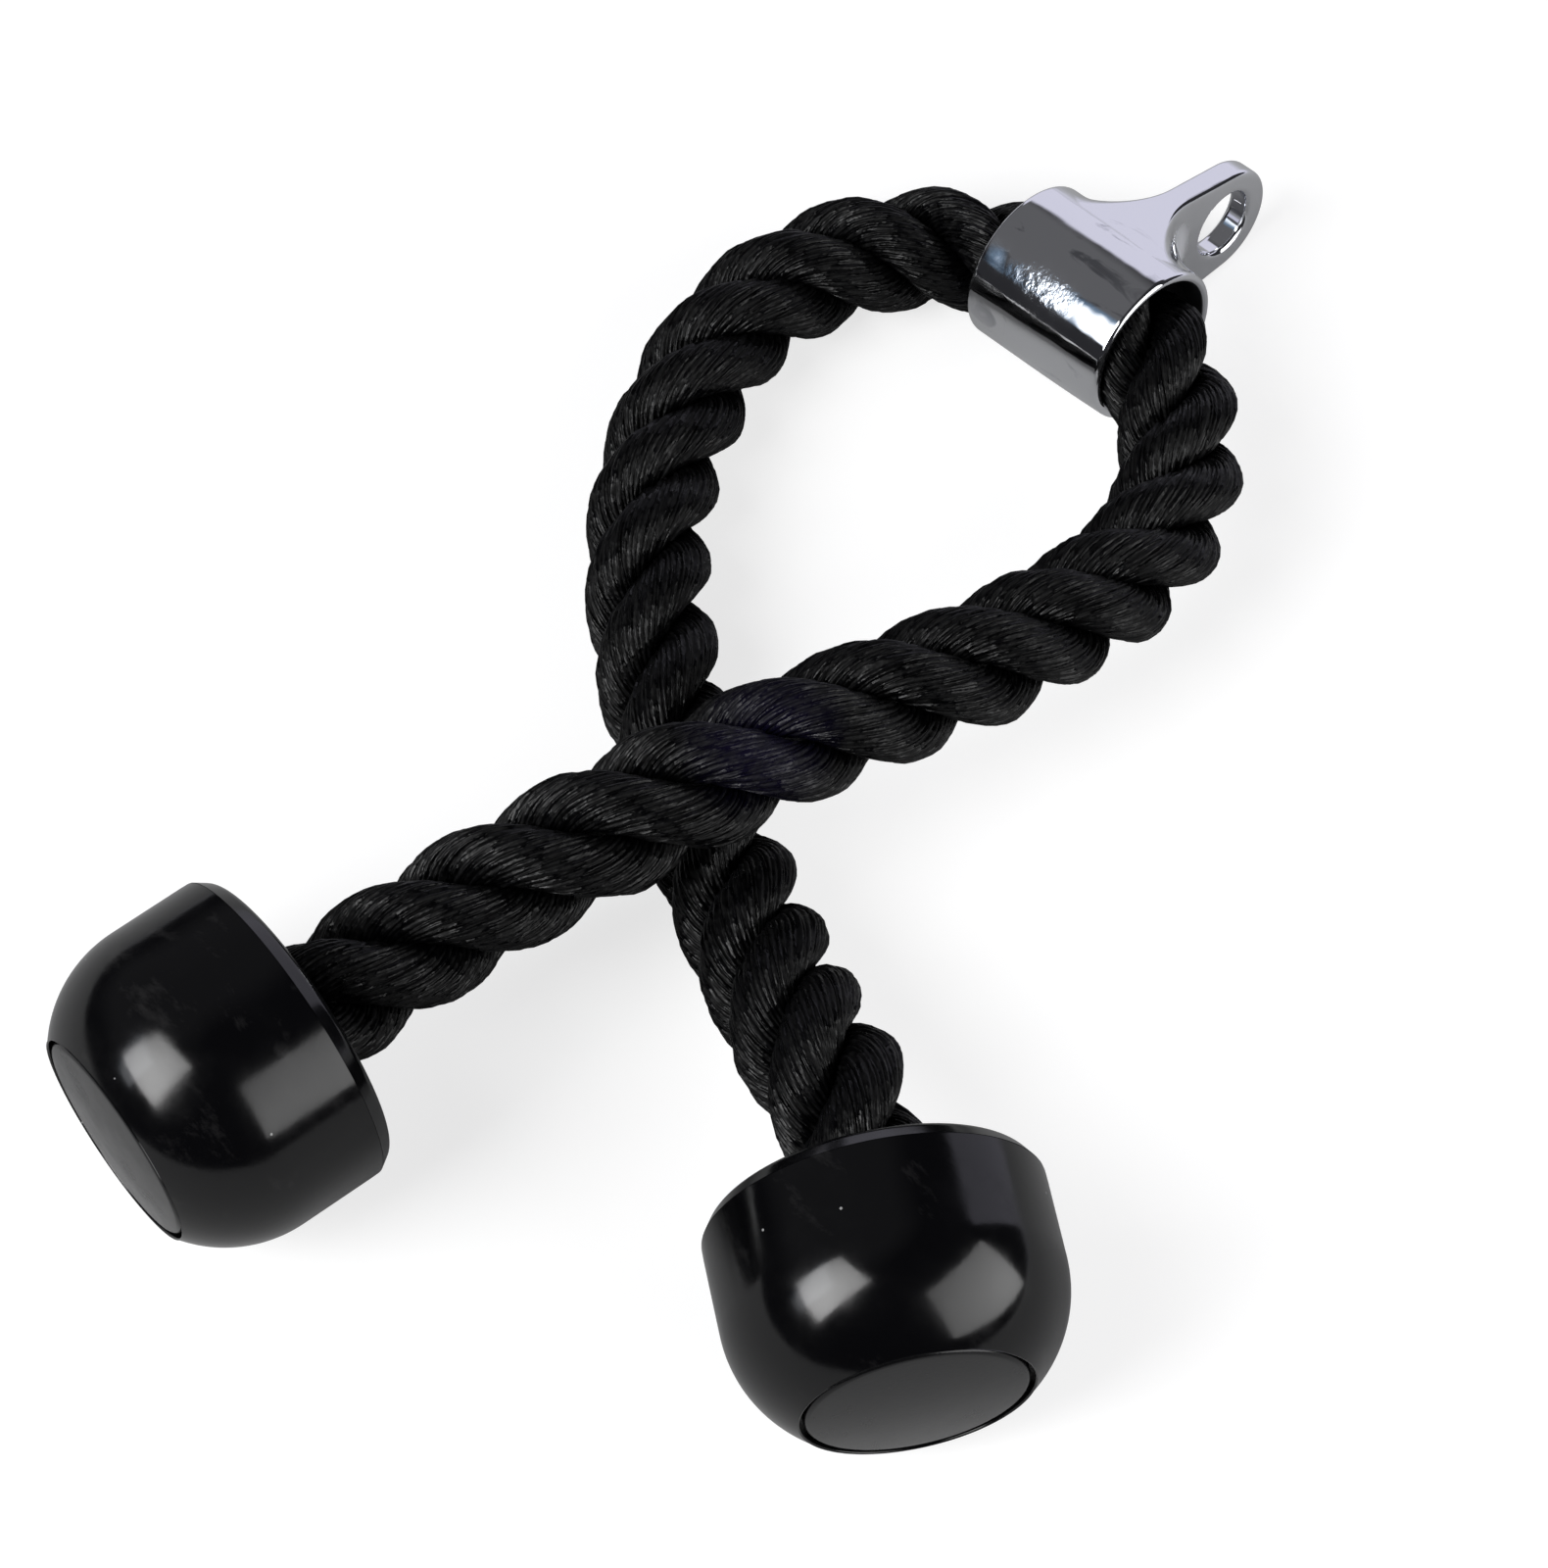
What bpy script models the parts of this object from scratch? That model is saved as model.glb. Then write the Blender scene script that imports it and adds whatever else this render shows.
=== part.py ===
"""Triceps rope attachment: a three-strand rope through a one-piece eye collar, with two hand stoppers.

Metres, +Z up. The part lies on the plane z = 0, with the eye towards +Y and the stoppers towards -Y.
"""
import math

import bmesh
import bpy
import numpy as np
from mathutils import Matrix, Vector

# Rope
ROPE_DIA = 0.028
ROPE_TAIL = 0.002          # fused rope end standing past its crimp ring
ROPE_EXIT_RUN = 0.010      # straight rope outside each stopper's mouth
ROPE_STEPS = 70            # stretches between the points of the tube
ROPE_SIDE_RINGS = 4

# Hand stoppers, measured along their axis from the mouth face
STOPPER_DIA = 0.070
STOPPER_LENGTH = 0.045
STOPPER_MOUTH_WALL = 0.008
STOPPER_MOUTH_LIP = 0.0018
STOPPER_BORE_LIP = 0.0015
STOPPER_SHOULDER_RADIUS = 0.028
ROPE_CLEARANCE = 0.0006    # stopper bore over rope, on the radius
CAVITY_CLEARANCE = 0.0032  # cavity over crimp ring, on the radius

# End caps
CAP_LAND = 0.0021          # the flange's seat round the cavity
CAP_FLANGE = 0.0030
CAP_SKIRT_DEPTH = 0.007
CAP_SKIRT_WALL = 0.0020
CAP_CROWN = 0.0009
CAP_INSET = 0.0004
CAP_EDGE_GAP = 0.0004

# Crimp rings and washers on the rope ends, inside the stoppers
CRIMP_WALL = 0.0035
CRIMP_LENGTH = 0.016
CRIMP_GROOVE = 0.0008
CRIMP_BANDS = 3
WASHER_THICKNESS = 0.002
WASHER_RIM_GAP = 0.0006

# Eye collar
COLLAR_CLEARANCE = 0.0023  # bore over rope, on the radius
COLLAR_WALL = 0.0025
COLLAR_LENGTH = 0.0392
COLLAR_RIM_ROUND = 0.0011
COLLAR_BORE_LIP = 0.0009
COLLAR_TILT = math.radians(8)
COLLAR_ROPE_RUN = 0.0175   # half the rope's run that is led by the bore
COLLAR_ROPE_RISE = 0.0013  # bent rope off the bore's axis at mid bore, towards the eye
COLLAR_ROPE_DIP = 0.0007   # and at both ends of its run, away from the eye
EYE_DISTANCE = 0.0415
EYE_DIA = 0.027
EYE_HOLE = 0.0160
PLATE_THICKNESS = 0.0062
PLATE_EDGE_ROUND = 0.0008
SADDLE_FILLET = 0.013

# Shared by every piece
SEAT_GAP = 0.0003          # between touching pieces
FLOOR_GAP = 0.0001
CUT_OVERRUN = 0.002
TURN_STEPS = 40
ARC_STEPS = 6

# The rope's route, seen as it lies: stopper mouths, their way in, and the free stretches by hand.
LEFT_MOUTH = (-0.0611, -0.1268)
LEFT_HEADING = math.radians(-97.7)
RIGHT_MOUTH = (0.0483, -0.0733)
RIGHT_HEADING = math.radians(-33.5)
COLLAR_PLACE = (-0.0738, 0.1201)
LEFT_STRETCH = [
    (-0.0565, -0.0965, 0.0366), (-0.0493, -0.0685, 0.0410), (-0.0403, -0.0385, 0.0443),
    (-0.0318, -0.0094, 0.0436), (-0.0226, 0.0216, 0.0392), (-0.0168, 0.0510, 0.0345),
    (-0.0171, 0.0759, 0.0291), (-0.0253, 0.0966, 0.0251), (-0.0401, 0.1116, 0.0238),
]
RIGHT_STRETCH = [
    (-0.1071, 0.1124, 0.0161), (-0.1202, 0.0987, 0.0145), (-0.1274, 0.0802, 0.0143),
    (-0.1269, 0.0594, 0.0143), (-0.1199, 0.0385, 0.0143), (-0.1084, 0.0191, 0.0146),
    (-0.0927, 0.0022, 0.0150), (-0.0744, -0.0119, 0.0146), (-0.0546, -0.0236, 0.0143),
    (-0.0326, -0.0346, 0.0162), (-0.0105, -0.0455, 0.0220), (0.0125, -0.0559, 0.0305),
]

# Worked out from the sizes above
ROPE_RADIUS = ROPE_DIA / 2
STOPPER_RADIUS = STOPPER_DIA / 2
STOPPER_BORE_RADIUS = ROPE_RADIUS + ROPE_CLEARANCE
CRIMP_RADIUS = ROPE_RADIUS + SEAT_GAP + CRIMP_WALL
CAVITY_RADIUS = CRIMP_RADIUS + CAVITY_CLEARANCE
CAP_RADIUS = CAVITY_RADIUS + CAP_LAND
CAP_SEAT = STOPPER_LENGTH - CAP_INSET - CAP_FLANGE
WASHER_START = STOPPER_MOUTH_WALL + SEAT_GAP
CRIMP_START = WASHER_START + WASHER_THICKNESS + SEAT_GAP
ROPE_END_DEPTH = CRIMP_START + CRIMP_LENGTH + ROPE_TAIL
COLLAR_BORE_RADIUS = ROPE_RADIUS + COLLAR_CLEARANCE
COLLAR_RADIUS = COLLAR_BORE_RADIUS + COLLAR_WALL
EYE_RADIUS = EYE_DIA / 2


def clear_scene():
    for item in list(bpy.data.objects):
        bpy.data.objects.remove(item, do_unlink=True)


def make_material(name, colour, roughness, metallic=0.0):
    material = bpy.data.materials.new(name)
    material.use_nodes = True
    shader = material.node_tree.nodes["Principled BSDF"]
    shader.inputs["Base Color"].default_value = (*colour, 1.0)
    shader.inputs["Roughness"].default_value = roughness
    shader.inputs["Metallic"].default_value = metallic
    return material


def add_object(name, mesh, parent, material=None):
    item = bpy.data.objects.new(name, mesh)
    bpy.context.scene.collection.objects.link(item)
    item.parent = parent
    if material:
        mesh.materials.append(material)
        mesh.shade_smooth()
        mesh.set_sharp_from_angle(angle=math.radians(30))
    return item


def add_axis(name, matrix):
    """An empty whose local Z (stoppers) or local X (collar) is the axis that its pieces turn about."""
    axis = bpy.data.objects.new(name, None)
    bpy.context.scene.collection.objects.link(axis)
    axis.matrix_world = matrix
    return axis


def hide_tool(item):
    item.hide_render = True
    item.display_type = "WIRE"


def arc(centre, radius, start_degrees, end_degrees, steps=ARC_STEPS):
    """Points (radius, along) on an arc of a turned outline, both ends included."""
    angles = np.radians(np.linspace(start_degrees, end_degrees, steps + 1))
    return [(centre[0] + radius * math.cos(a), centre[1] + radius * math.sin(a)) for a in angles]


def turned_mesh(name, outline, closed=True):
    """The outline, as (radius, along) points, spun a full turn about local Z.

    A closed outline gives a ring; an open one starts and ends on the axis and gives a solid.
    """
    work = bmesh.new()
    points = [work.verts.new((radius, 0, along)) for radius, along in outline]
    edges = [work.edges.new(pair) for pair in zip(points, points[1:])]
    if closed:
        edges.append(work.edges.new((points[-1], points[0])))
    bmesh.ops.spin(work, geom=points + edges, axis=(0, 0, 1), cent=(0, 0, 0),
                   angle=math.tau, steps=TURN_STEPS, use_merge=True)
    bmesh.ops.remove_doubles(work, verts=work.verts, dist=FLOOR_GAP / 100)
    bmesh.ops.recalc_face_normals(work, faces=work.faces)
    mesh = bpy.data.meshes.new(name)
    work.to_mesh(mesh)
    work.free()
    return mesh


def stopper_outline():
    """The moulded cup: a bored mouth wall, a straight side, a round shoulder and an open, rebated end."""
    rebate = CAP_RADIUS + CAP_EDGE_GAP
    drop = STOPPER_RADIUS - rebate
    turn_in = math.degrees(math.acos(1 - drop / STOPPER_SHOULDER_RADIUS))
    shoulder_start = STOPPER_LENGTH - STOPPER_SHOULDER_RADIUS * math.sin(math.radians(turn_in))
    shoulder_centre = (STOPPER_RADIUS - STOPPER_SHOULDER_RADIUS, shoulder_start)
    rebate_floor = CAP_SEAT - SEAT_GAP
    outline = arc((STOPPER_BORE_RADIUS + STOPPER_BORE_LIP, STOPPER_BORE_LIP), STOPPER_BORE_LIP,
                  270, 180, ARC_STEPS // 2)
    outline += [(STOPPER_BORE_RADIUS, STOPPER_MOUTH_WALL), (CAVITY_RADIUS, STOPPER_MOUTH_WALL),
                (CAVITY_RADIUS, rebate_floor), (rebate, rebate_floor)]
    outline += arc(shoulder_centre, STOPPER_SHOULDER_RADIUS, turn_in, 0, 2 * ARC_STEPS)
    outline += arc((STOPPER_RADIUS - STOPPER_MOUTH_LIP, STOPPER_MOUTH_LIP), STOPPER_MOUTH_LIP,
                   0, -90, ARC_STEPS // 2)
    return outline


def cap_outline():
    """A flanged, slightly crowned disc with a skirt that plugs the stopper's cavity."""
    top = STOPPER_LENGTH - CAP_INSET
    crown_radius = (CAP_RADIUS ** 2 + CAP_CROWN ** 2) / (2 * CAP_CROWN)
    crown_half = math.degrees(math.asin(CAP_RADIUS / crown_radius))
    crown = arc((0, top + CAP_CROWN - crown_radius), crown_radius, 90 - crown_half, 90)
    skirt = CAVITY_RADIUS - SEAT_GAP
    skirt_bottom = CAP_SEAT - CAP_SKIRT_DEPTH
    return [(0, CAP_SEAT), (skirt - CAP_SKIRT_WALL, CAP_SEAT), (skirt - CAP_SKIRT_WALL, skirt_bottom),
            (skirt, skirt_bottom), (skirt, CAP_SEAT), (CAP_RADIUS, CAP_SEAT)] + crown[:-1] \
        + [(0, top + CAP_CROWN)]


def crimp_outline():
    """A swaged steel ring: plain bore, outside pressed into bands by the die."""
    inner = ROPE_RADIUS + SEAT_GAP
    band = CRIMP_LENGTH / CRIMP_BANDS
    outline = [(inner, CRIMP_START), (inner, CRIMP_START + CRIMP_LENGTH)]
    for index in reversed(range(CRIMP_BANDS)):
        start = CRIMP_START + index * band
        outline += [(CRIMP_RADIUS - CRIMP_GROOVE, start + band),
                    (CRIMP_RADIUS, start + band - CRIMP_GROOVE),
                    (CRIMP_RADIUS, start + CRIMP_GROOVE)]
    return outline + [(CRIMP_RADIUS - CRIMP_GROOVE, CRIMP_START)]


def washer_outline():
    inner = STOPPER_BORE_RADIUS
    outer = CAVITY_RADIUS - WASHER_RIM_GAP
    end = WASHER_START + WASHER_THICKNESS
    return [(inner, WASHER_START), (inner, end), (outer, end), (outer, WASHER_START)]


def heading_vector(heading):
    return Vector((math.cos(heading), math.sin(heading), 0))


def stopper_frame(mouth, heading):
    """Local Z runs along the stopper, from its mouth to its end cap, and lies level."""
    way = heading_vector(heading)
    up = Vector((0, 0, 1))
    columns = (up, way.cross(up), way)
    turn = Matrix([[column[row] for column in columns] for row in range(3)]).to_4x4()
    return Matrix.Translation((*mouth, STOPPER_RADIUS + FLOOR_GAP)) @ turn


def collar_height():
    """The collar lies tilted, so the low edge of its barrel is what rests on the floor."""
    return (COLLAR_RADIUS * math.cos(COLLAR_TILT) + COLLAR_LENGTH / 2 * math.sin(COLLAR_TILT)
            + FLOOR_GAP)


def collar_frame():
    """Local X is the bore's axis and local Y points to the eye, which drops until it rests too."""
    eye_height = (EYE_RADIUS * math.cos(COLLAR_TILT) + PLATE_THICKNESS / 2 * math.sin(COLLAR_TILT)
                  + FLOOR_GAP)
    drop = math.asin((collar_height() - eye_height) / (EYE_DISTANCE * math.cos(COLLAR_TILT)))
    turn = Matrix.Rotation(-COLLAR_TILT, 4, "Y") @ Matrix.Rotation(-drop, 4, "X")
    return Matrix.Translation((*COLLAR_PLACE, collar_height())) @ turn


def saddle_half_thickness(reach):
    """Half thickness of the eye plate at a reach from the bore axis: flat, then a quarter-round flare."""
    rise = np.clip(COLLAR_RADIUS + SADDLE_FILLET - reach, 0, SADDLE_FILLET)
    return PLATE_THICKNESS / 2 + SADDLE_FILLET - np.sqrt(SADDLE_FILLET ** 2 - rise ** 2)


def eye_plate_stations():
    """Pairs (distance along local Y, half width) down the plate: tangent sides, then the round eye."""
    root_radius = COLLAR_RADIUS - PLATE_EDGE_ROUND / 2
    lean = math.asin((root_radius - EYE_RADIUS) / EYE_DISTANCE)
    root = (root_radius * math.sin(lean), root_radius * math.cos(lean))
    shoulder = (EYE_DISTANCE + EYE_RADIUS * math.sin(lean), EYE_RADIUS * math.cos(lean))
    shares = np.linspace(0, 1, 2 * ARC_STEPS + 1)[:-1]
    stations = [(root[0] + share * (shoulder[0] - root[0]), root[1] + share * (shoulder[1] - root[1]))
                for share in shares]
    tip_steps = 2 * ARC_STEPS
    last = math.pi / 2 - (math.pi / 2 - lean) / (2 * tip_steps)
    for angle in np.linspace(lean, last, tip_steps + 1):
        stations.append((EYE_DISTANCE + EYE_RADIUS * math.sin(angle), EYE_RADIUS * math.cos(angle)))
    return stations


def eye_plate_mesh():
    """The plate and its saddle: rows of points across each station, on both faces, closed all round."""
    width_shares = np.linspace(-1, 1, ARC_STEPS + 1)
    across = len(width_shares)
    points = []
    for along, half_width in eye_plate_stations():
        z = width_shares * half_width
        x = saddle_half_thickness(np.hypot(along, z))
        points += [(side_x, along, side_z) for side_x, side_z in zip(x, z)]
        points += [(-side_x, along, side_z) for side_x, side_z in zip(x[::-1], z[::-1])]
    ring = 2 * across
    rings = len(points) // ring
    faces = [(row * ring + step, row * ring + (step + 1) % ring,
              (row + 1) * ring + (step + 1) % ring, (row + 1) * ring + step)
             for row in range(rings - 1) for step in range(ring)]
    for start in (0, (rings - 1) * ring):
        faces += [(start + step, start + step + 1, start + ring - 2 - step, start + ring - 1 - step)
                  for step in range(across - 1)]
    mesh = bpy.data.meshes.new("eye_plate_tool")
    mesh.from_pydata(points, [], faces)
    work = bmesh.new()
    work.from_mesh(mesh)
    bmesh.ops.recalc_face_normals(work, faces=work.faces)
    work.to_mesh(mesh)
    work.free()
    return mesh


def barrel_outline():
    """The barrel as a solid bar with rounded rims; its bore is cut afterwards."""
    half = COLLAR_LENGTH / 2
    corner = (COLLAR_RADIUS - COLLAR_RIM_ROUND, half - COLLAR_RIM_ROUND)
    upper = arc(corner, COLLAR_RIM_ROUND, 0, 90, ARC_STEPS // 2)
    lower = [(radius, -along) for radius, along in reversed(upper)]
    return [(0, -half)] + lower + upper + [(0, half)]


def bore_outline():
    """The bore cutter, which flares at both rims so that the rope isn't cut."""
    half = COLLAR_LENGTH / 2
    corner = (COLLAR_BORE_RADIUS + COLLAR_BORE_LIP, half - COLLAR_BORE_LIP)
    upper = arc(corner, COLLAR_BORE_LIP, 180, 90, ARC_STEPS // 2)
    upper.append((COLLAR_BORE_RADIUS + COLLAR_BORE_LIP, half + CUT_OVERRUN))
    lower = [(radius, -along) for radius, along in reversed(upper)]
    return [(0, -half - CUT_OVERRUN)] + lower + upper + [(0, half + CUT_OVERRUN)]


def add_boolean(item, tool, operation):
    cut = item.modifiers.new(tool.name, "BOOLEAN")
    cut.object = tool
    cut.operation = operation
    hide_tool(tool)


def add_collar(axis, material):
    along_bore = Matrix.Rotation(math.pi / 2, 4, "Y")
    barrel_mesh = turned_mesh("eye_collar", barrel_outline(), closed=False)
    barrel_mesh.transform(along_bore)
    collar = add_object("eye_collar", barrel_mesh, axis, material)
    plate = add_object("eye_plate_tool", eye_plate_mesh(), axis)
    edge = plate.modifiers.new("edge_round", "BEVEL")
    edge.width = PLATE_EDGE_ROUND
    edge.segments = 2
    edge.limit_method = "ANGLE"
    edge.angle_limit = math.radians(60)
    bore_mesh = turned_mesh("bore_tool", bore_outline(), closed=False)
    bore_mesh.transform(along_bore)
    bore = add_object("bore_tool", bore_mesh, axis)
    reach = PLATE_THICKNESS / 2 + CUT_OVERRUN
    hole_outline = [(0, -reach), (EYE_HOLE / 2, -reach), (EYE_HOLE / 2, reach), (0, reach)]
    hole_mesh = turned_mesh("eye_hole_tool", hole_outline, closed=False)
    hole_mesh.transform(Matrix.Translation((0, EYE_DISTANCE, 0)) @ along_bore)
    hole = add_object("eye_hole_tool", hole_mesh, axis)
    add_boolean(collar, plate, "UNION")
    add_boolean(collar, bore, "DIFFERENCE")
    add_boolean(collar, hole, "DIFFERENCE")
    return collar


def smooth_route(points, start_way, end_way, steps):
    """Evenly spaced points on the cubic spline through the given points, with set ways at both ends."""
    points = np.array(points, float)
    chords = np.linalg.norm(np.diff(points, axis=0), axis=1)
    count = len(points)
    system = np.eye(count)
    right_side = np.zeros((count, 3))
    right_side[0], right_side[-1] = start_way, end_way
    for i in range(1, count - 1):
        before, after = chords[i - 1], chords[i]
        system[i, i - 1:i + 2] = (after, 2 * (before + after), before)
        right_side[i] = 3 * (after * (points[i] - points[i - 1]) / before
                             + before * (points[i + 1] - points[i]) / after)
    ways = np.linalg.solve(system, right_side)
    share = np.linspace(0, 1, 4 * ARC_STEPS, endpoint=False)[:, None]
    fine = [points[i] * (1 - share) ** 2 * (1 + 2 * share)
            + ways[i] * chords[i] * share * (1 - share) ** 2
            + points[i + 1] * share ** 2 * (3 - 2 * share)
            - ways[i + 1] * chords[i] * share ** 2 * (1 - share)
            for i in range(count - 1)]
    fine = np.concatenate(fine + [points[-1:]])
    travelled = np.concatenate([[0], np.cumsum(np.linalg.norm(np.diff(fine, axis=0), axis=1))])
    wanted = np.linspace(0, travelled[-1], steps + 1)
    return np.stack([np.interp(wanted, travelled, fine[:, k]) for k in range(3)], axis=1)


def rope_points(left_axis, right_axis, collar_axis):
    """From the left crimp ring, over the crossing, through the collar and back to the right one."""
    along = {"left": left_axis @ Vector((0, 0, 1)) - left_axis.translation,
             "right": right_axis @ Vector((0, 0, 1)) - right_axis.translation}
    left_end = left_axis @ Vector((0, 0, ROPE_END_DEPTH))
    left_exit = left_axis @ Vector((0, 0, -ROPE_EXIT_RUN))
    right_end = right_axis @ Vector((0, 0, ROPE_END_DEPTH))
    right_exit = right_axis @ Vector((0, 0, -ROPE_EXIT_RUN))
    bore_way = collar_axis @ Vector((1, 0, 0)) - collar_axis.translation
    middle = collar_axis.translation
    rise, dip = Vector((0, COLLAR_ROPE_RISE, 0)), Vector((0, COLLAR_ROPE_DIP, 0))
    led = [middle + bore_way * COLLAR_ROPE_RUN - dip, middle + rise,
           middle - bore_way * COLLAR_ROPE_RUN - dip]
    route = [left_exit] + [Vector(p) for p in LEFT_STRETCH] + led \
        + [Vector(p) for p in RIGHT_STRETCH] + [right_exit]
    free = smooth_route(route, -along["left"], along["right"], ROPE_STEPS)
    return [left_end] + [Vector(p) for p in free] + [right_end]


def add_rope(points, material):
    """A plain round tube; the strands' lay isn't part of this model."""
    curve = bpy.data.curves.new("rope", "CURVE")
    curve.dimensions = "3D"
    curve.bevel_depth = ROPE_RADIUS
    curve.bevel_resolution = ROPE_SIDE_RINGS
    curve.resolution_u = 1
    curve.render_resolution_u = 0
    curve.use_fill_caps = True
    spline = curve.splines.new("POLY")
    spline.points.add(len(points) - 1)
    for slot, point in zip(spline.points, points):
        slot.co = (*point, 1)
    curve.materials.append(material)
    rope = bpy.data.objects.new("rope", curve)
    bpy.context.scene.collection.objects.link(rope)
    return rope


def add_stopper_set(side, axis, materials):
    """One end of the rope: the cup and its cap turn together; the washer and crimp ring stay on the rope."""
    outlines = (("stopper", stopper_outline(), True), ("end_cap", cap_outline(), False),
                ("thrust_washer", washer_outline(), True), ("crimp_ring", crimp_outline(), True))
    for piece, outline, closed in outlines:
        name = f"{side}_{piece}"
        add_object(name, turned_mesh(name, outline, closed), axis, materials[piece])


def main():
    clear_scene()
    stopper_materials = {
        "stopper": make_material("moulded_rubber", (0.012, 0.012, 0.014), 0.32),
        "end_cap": make_material("moulded_cap", (0.030, 0.030, 0.034), 0.42),
        "thrust_washer": make_material("zinc_washer", (0.62, 0.62, 0.60), 0.35, 1.0),
        "crimp_ring": make_material("zinc_crimp", (0.58, 0.58, 0.57), 0.40, 1.0),
    }
    left_axis = add_axis("left_stopper_axis", stopper_frame(LEFT_MOUTH, LEFT_HEADING))
    right_axis = add_axis("right_stopper_axis", stopper_frame(RIGHT_MOUTH, RIGHT_HEADING))
    collar_axis = add_axis("collar_axis", collar_frame())
    add_stopper_set("left", left_axis, stopper_materials)
    add_stopper_set("right", right_axis, stopper_materials)
    add_collar(collar_axis, make_material("chrome", (0.80, 0.80, 0.82), 0.08, 1.0))
    points = rope_points(stopper_frame(LEFT_MOUTH, LEFT_HEADING),
                         stopper_frame(RIGHT_MOUTH, RIGHT_HEADING), collar_frame())
    add_rope(points, make_material("black_rope", (0.010, 0.010, 0.012), 0.55))
    length = sum((b - a).length for a, b in zip(points, points[1:]))
    print(f"rope length {length:.4f} m")


main()
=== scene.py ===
"""Triceps rope attachment: three-strand rope, chrome eye collar, two hand stoppers with end caps.

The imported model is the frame. Each section below makes one piece, or one group of like pieces, from
its sizes to its finish. Metres, +Z up, the plane z = 0 is what the rope lies on.
"""
import math

import bmesh
import bpy
import numpy as np
from mathutils import Matrix, Vector


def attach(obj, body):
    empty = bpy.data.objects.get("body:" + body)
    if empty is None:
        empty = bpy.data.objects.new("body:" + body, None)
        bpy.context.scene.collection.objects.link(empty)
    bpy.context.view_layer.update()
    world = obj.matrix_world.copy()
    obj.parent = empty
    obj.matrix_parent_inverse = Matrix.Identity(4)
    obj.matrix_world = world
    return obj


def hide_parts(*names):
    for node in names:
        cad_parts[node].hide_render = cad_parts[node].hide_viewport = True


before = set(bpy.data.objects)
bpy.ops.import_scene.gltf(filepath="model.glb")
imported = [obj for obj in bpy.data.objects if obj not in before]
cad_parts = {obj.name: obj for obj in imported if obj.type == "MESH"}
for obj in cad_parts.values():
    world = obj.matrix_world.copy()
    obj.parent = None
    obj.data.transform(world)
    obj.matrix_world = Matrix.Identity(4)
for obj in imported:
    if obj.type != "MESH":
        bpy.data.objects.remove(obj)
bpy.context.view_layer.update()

# Camera. It stands about 1.1 m away on the stoppers' side and looks down steeply through a long
# lens. Place, aim and lens were fitted to the photograph.
CAMERA_PLACE = np.array((0.3463, -0.3983, 0.9965))
CAMERA_AIM = np.array((-0.0315, -0.0205, 0.035))
CAMERA_LENS = 121.95           # millimetres
CAMERA_NEAREST = 0.05

camera_data = bpy.data.cameras.new("camera")
camera_data.lens = CAMERA_LENS
camera_data.clip_start = CAMERA_NEAREST
camera = bpy.data.objects.new("camera", camera_data)
camera.location = CAMERA_PLACE
camera.rotation_euler = Vector(CAMERA_AIM - CAMERA_PLACE).to_track_quat("-Z", "Y").to_euler()
bpy.context.scene.collection.objects.link(camera)
bpy.context.scene.camera = camera


# Rope. Three strands of black polypropylene yarn, laid right-handed into one 28 mm rope. It runs
# from the left crimp ring over its own right arm, through the collar and back to the right one.
ROPE_LENGTH = 0.674
ROPE_INSIDE = 0.0286           # from a stopper's mouth in to the rope's cut end
STRAIGHT_OUTSIDE = 0.010       # straight rope outside each mouth
STOPPER_AXIS_HEIGHT = 0.0351
LEFT_MOUTH = np.array((-0.0611, -0.1268, STOPPER_AXIS_HEIGHT))
LEFT_WAY = np.array((math.cos(math.radians(-97.7)), math.sin(math.radians(-97.7)), 0))
RIGHT_MOUTH = np.array((0.0483, -0.0733, STOPPER_AXIS_HEIGHT))
RIGHT_WAY = np.array((math.cos(math.radians(-33.5)), math.sin(math.radians(-33.5)), 0))
COLLAR_CENTRE = np.array((-0.0738, 0.1201, 0.021445))
COLLAR_TILT = math.radians(8)
BORE_WAY = np.array((math.cos(COLLAR_TILT), 0, math.sin(COLLAR_TILT)))
BORE_RUN = 0.0175              # half the rope's run in the collar
BORE_RISE = np.array((0, 0.0013, 0))   # the rope bows in the bore, its middle out by this
BORE_DIP = np.array((0, 0.0007, 0))    # and its ends back by this
LEFT_ARM = np.array([
    (-0.0565, -0.0965, 0.0366), (-0.0493, -0.0685, 0.0410), (-0.0403, -0.0385, 0.0443),
    (-0.0318, -0.0094, 0.0436), (-0.0226, 0.0216, 0.0392), (-0.0168, 0.0510, 0.0345),
    (-0.0171, 0.0759, 0.0291), (-0.0253, 0.0966, 0.0251), (-0.0401, 0.1116, 0.0238),
])
RIGHT_ARM = np.array([
    (-0.1071, 0.1124, 0.0161), (-0.1202, 0.0987, 0.0145), (-0.1274, 0.0802, 0.0143),
    (-0.1269, 0.0594, 0.0143), (-0.1199, 0.0385, 0.0143), (-0.1084, 0.0191, 0.0146),
    (-0.0927, 0.0022, 0.0150), (-0.0744, -0.0119, 0.0146), (-0.0546, -0.0236, 0.0143),
    (-0.0326, -0.0346, 0.0162), (-0.0105, -0.0455, 0.0220), (0.0125, -0.0559, 0.0305),
])
SPLINE_STEPS = 40              # to each span of the route
INSIDE_STEPS = 30              # in each stopper
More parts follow.
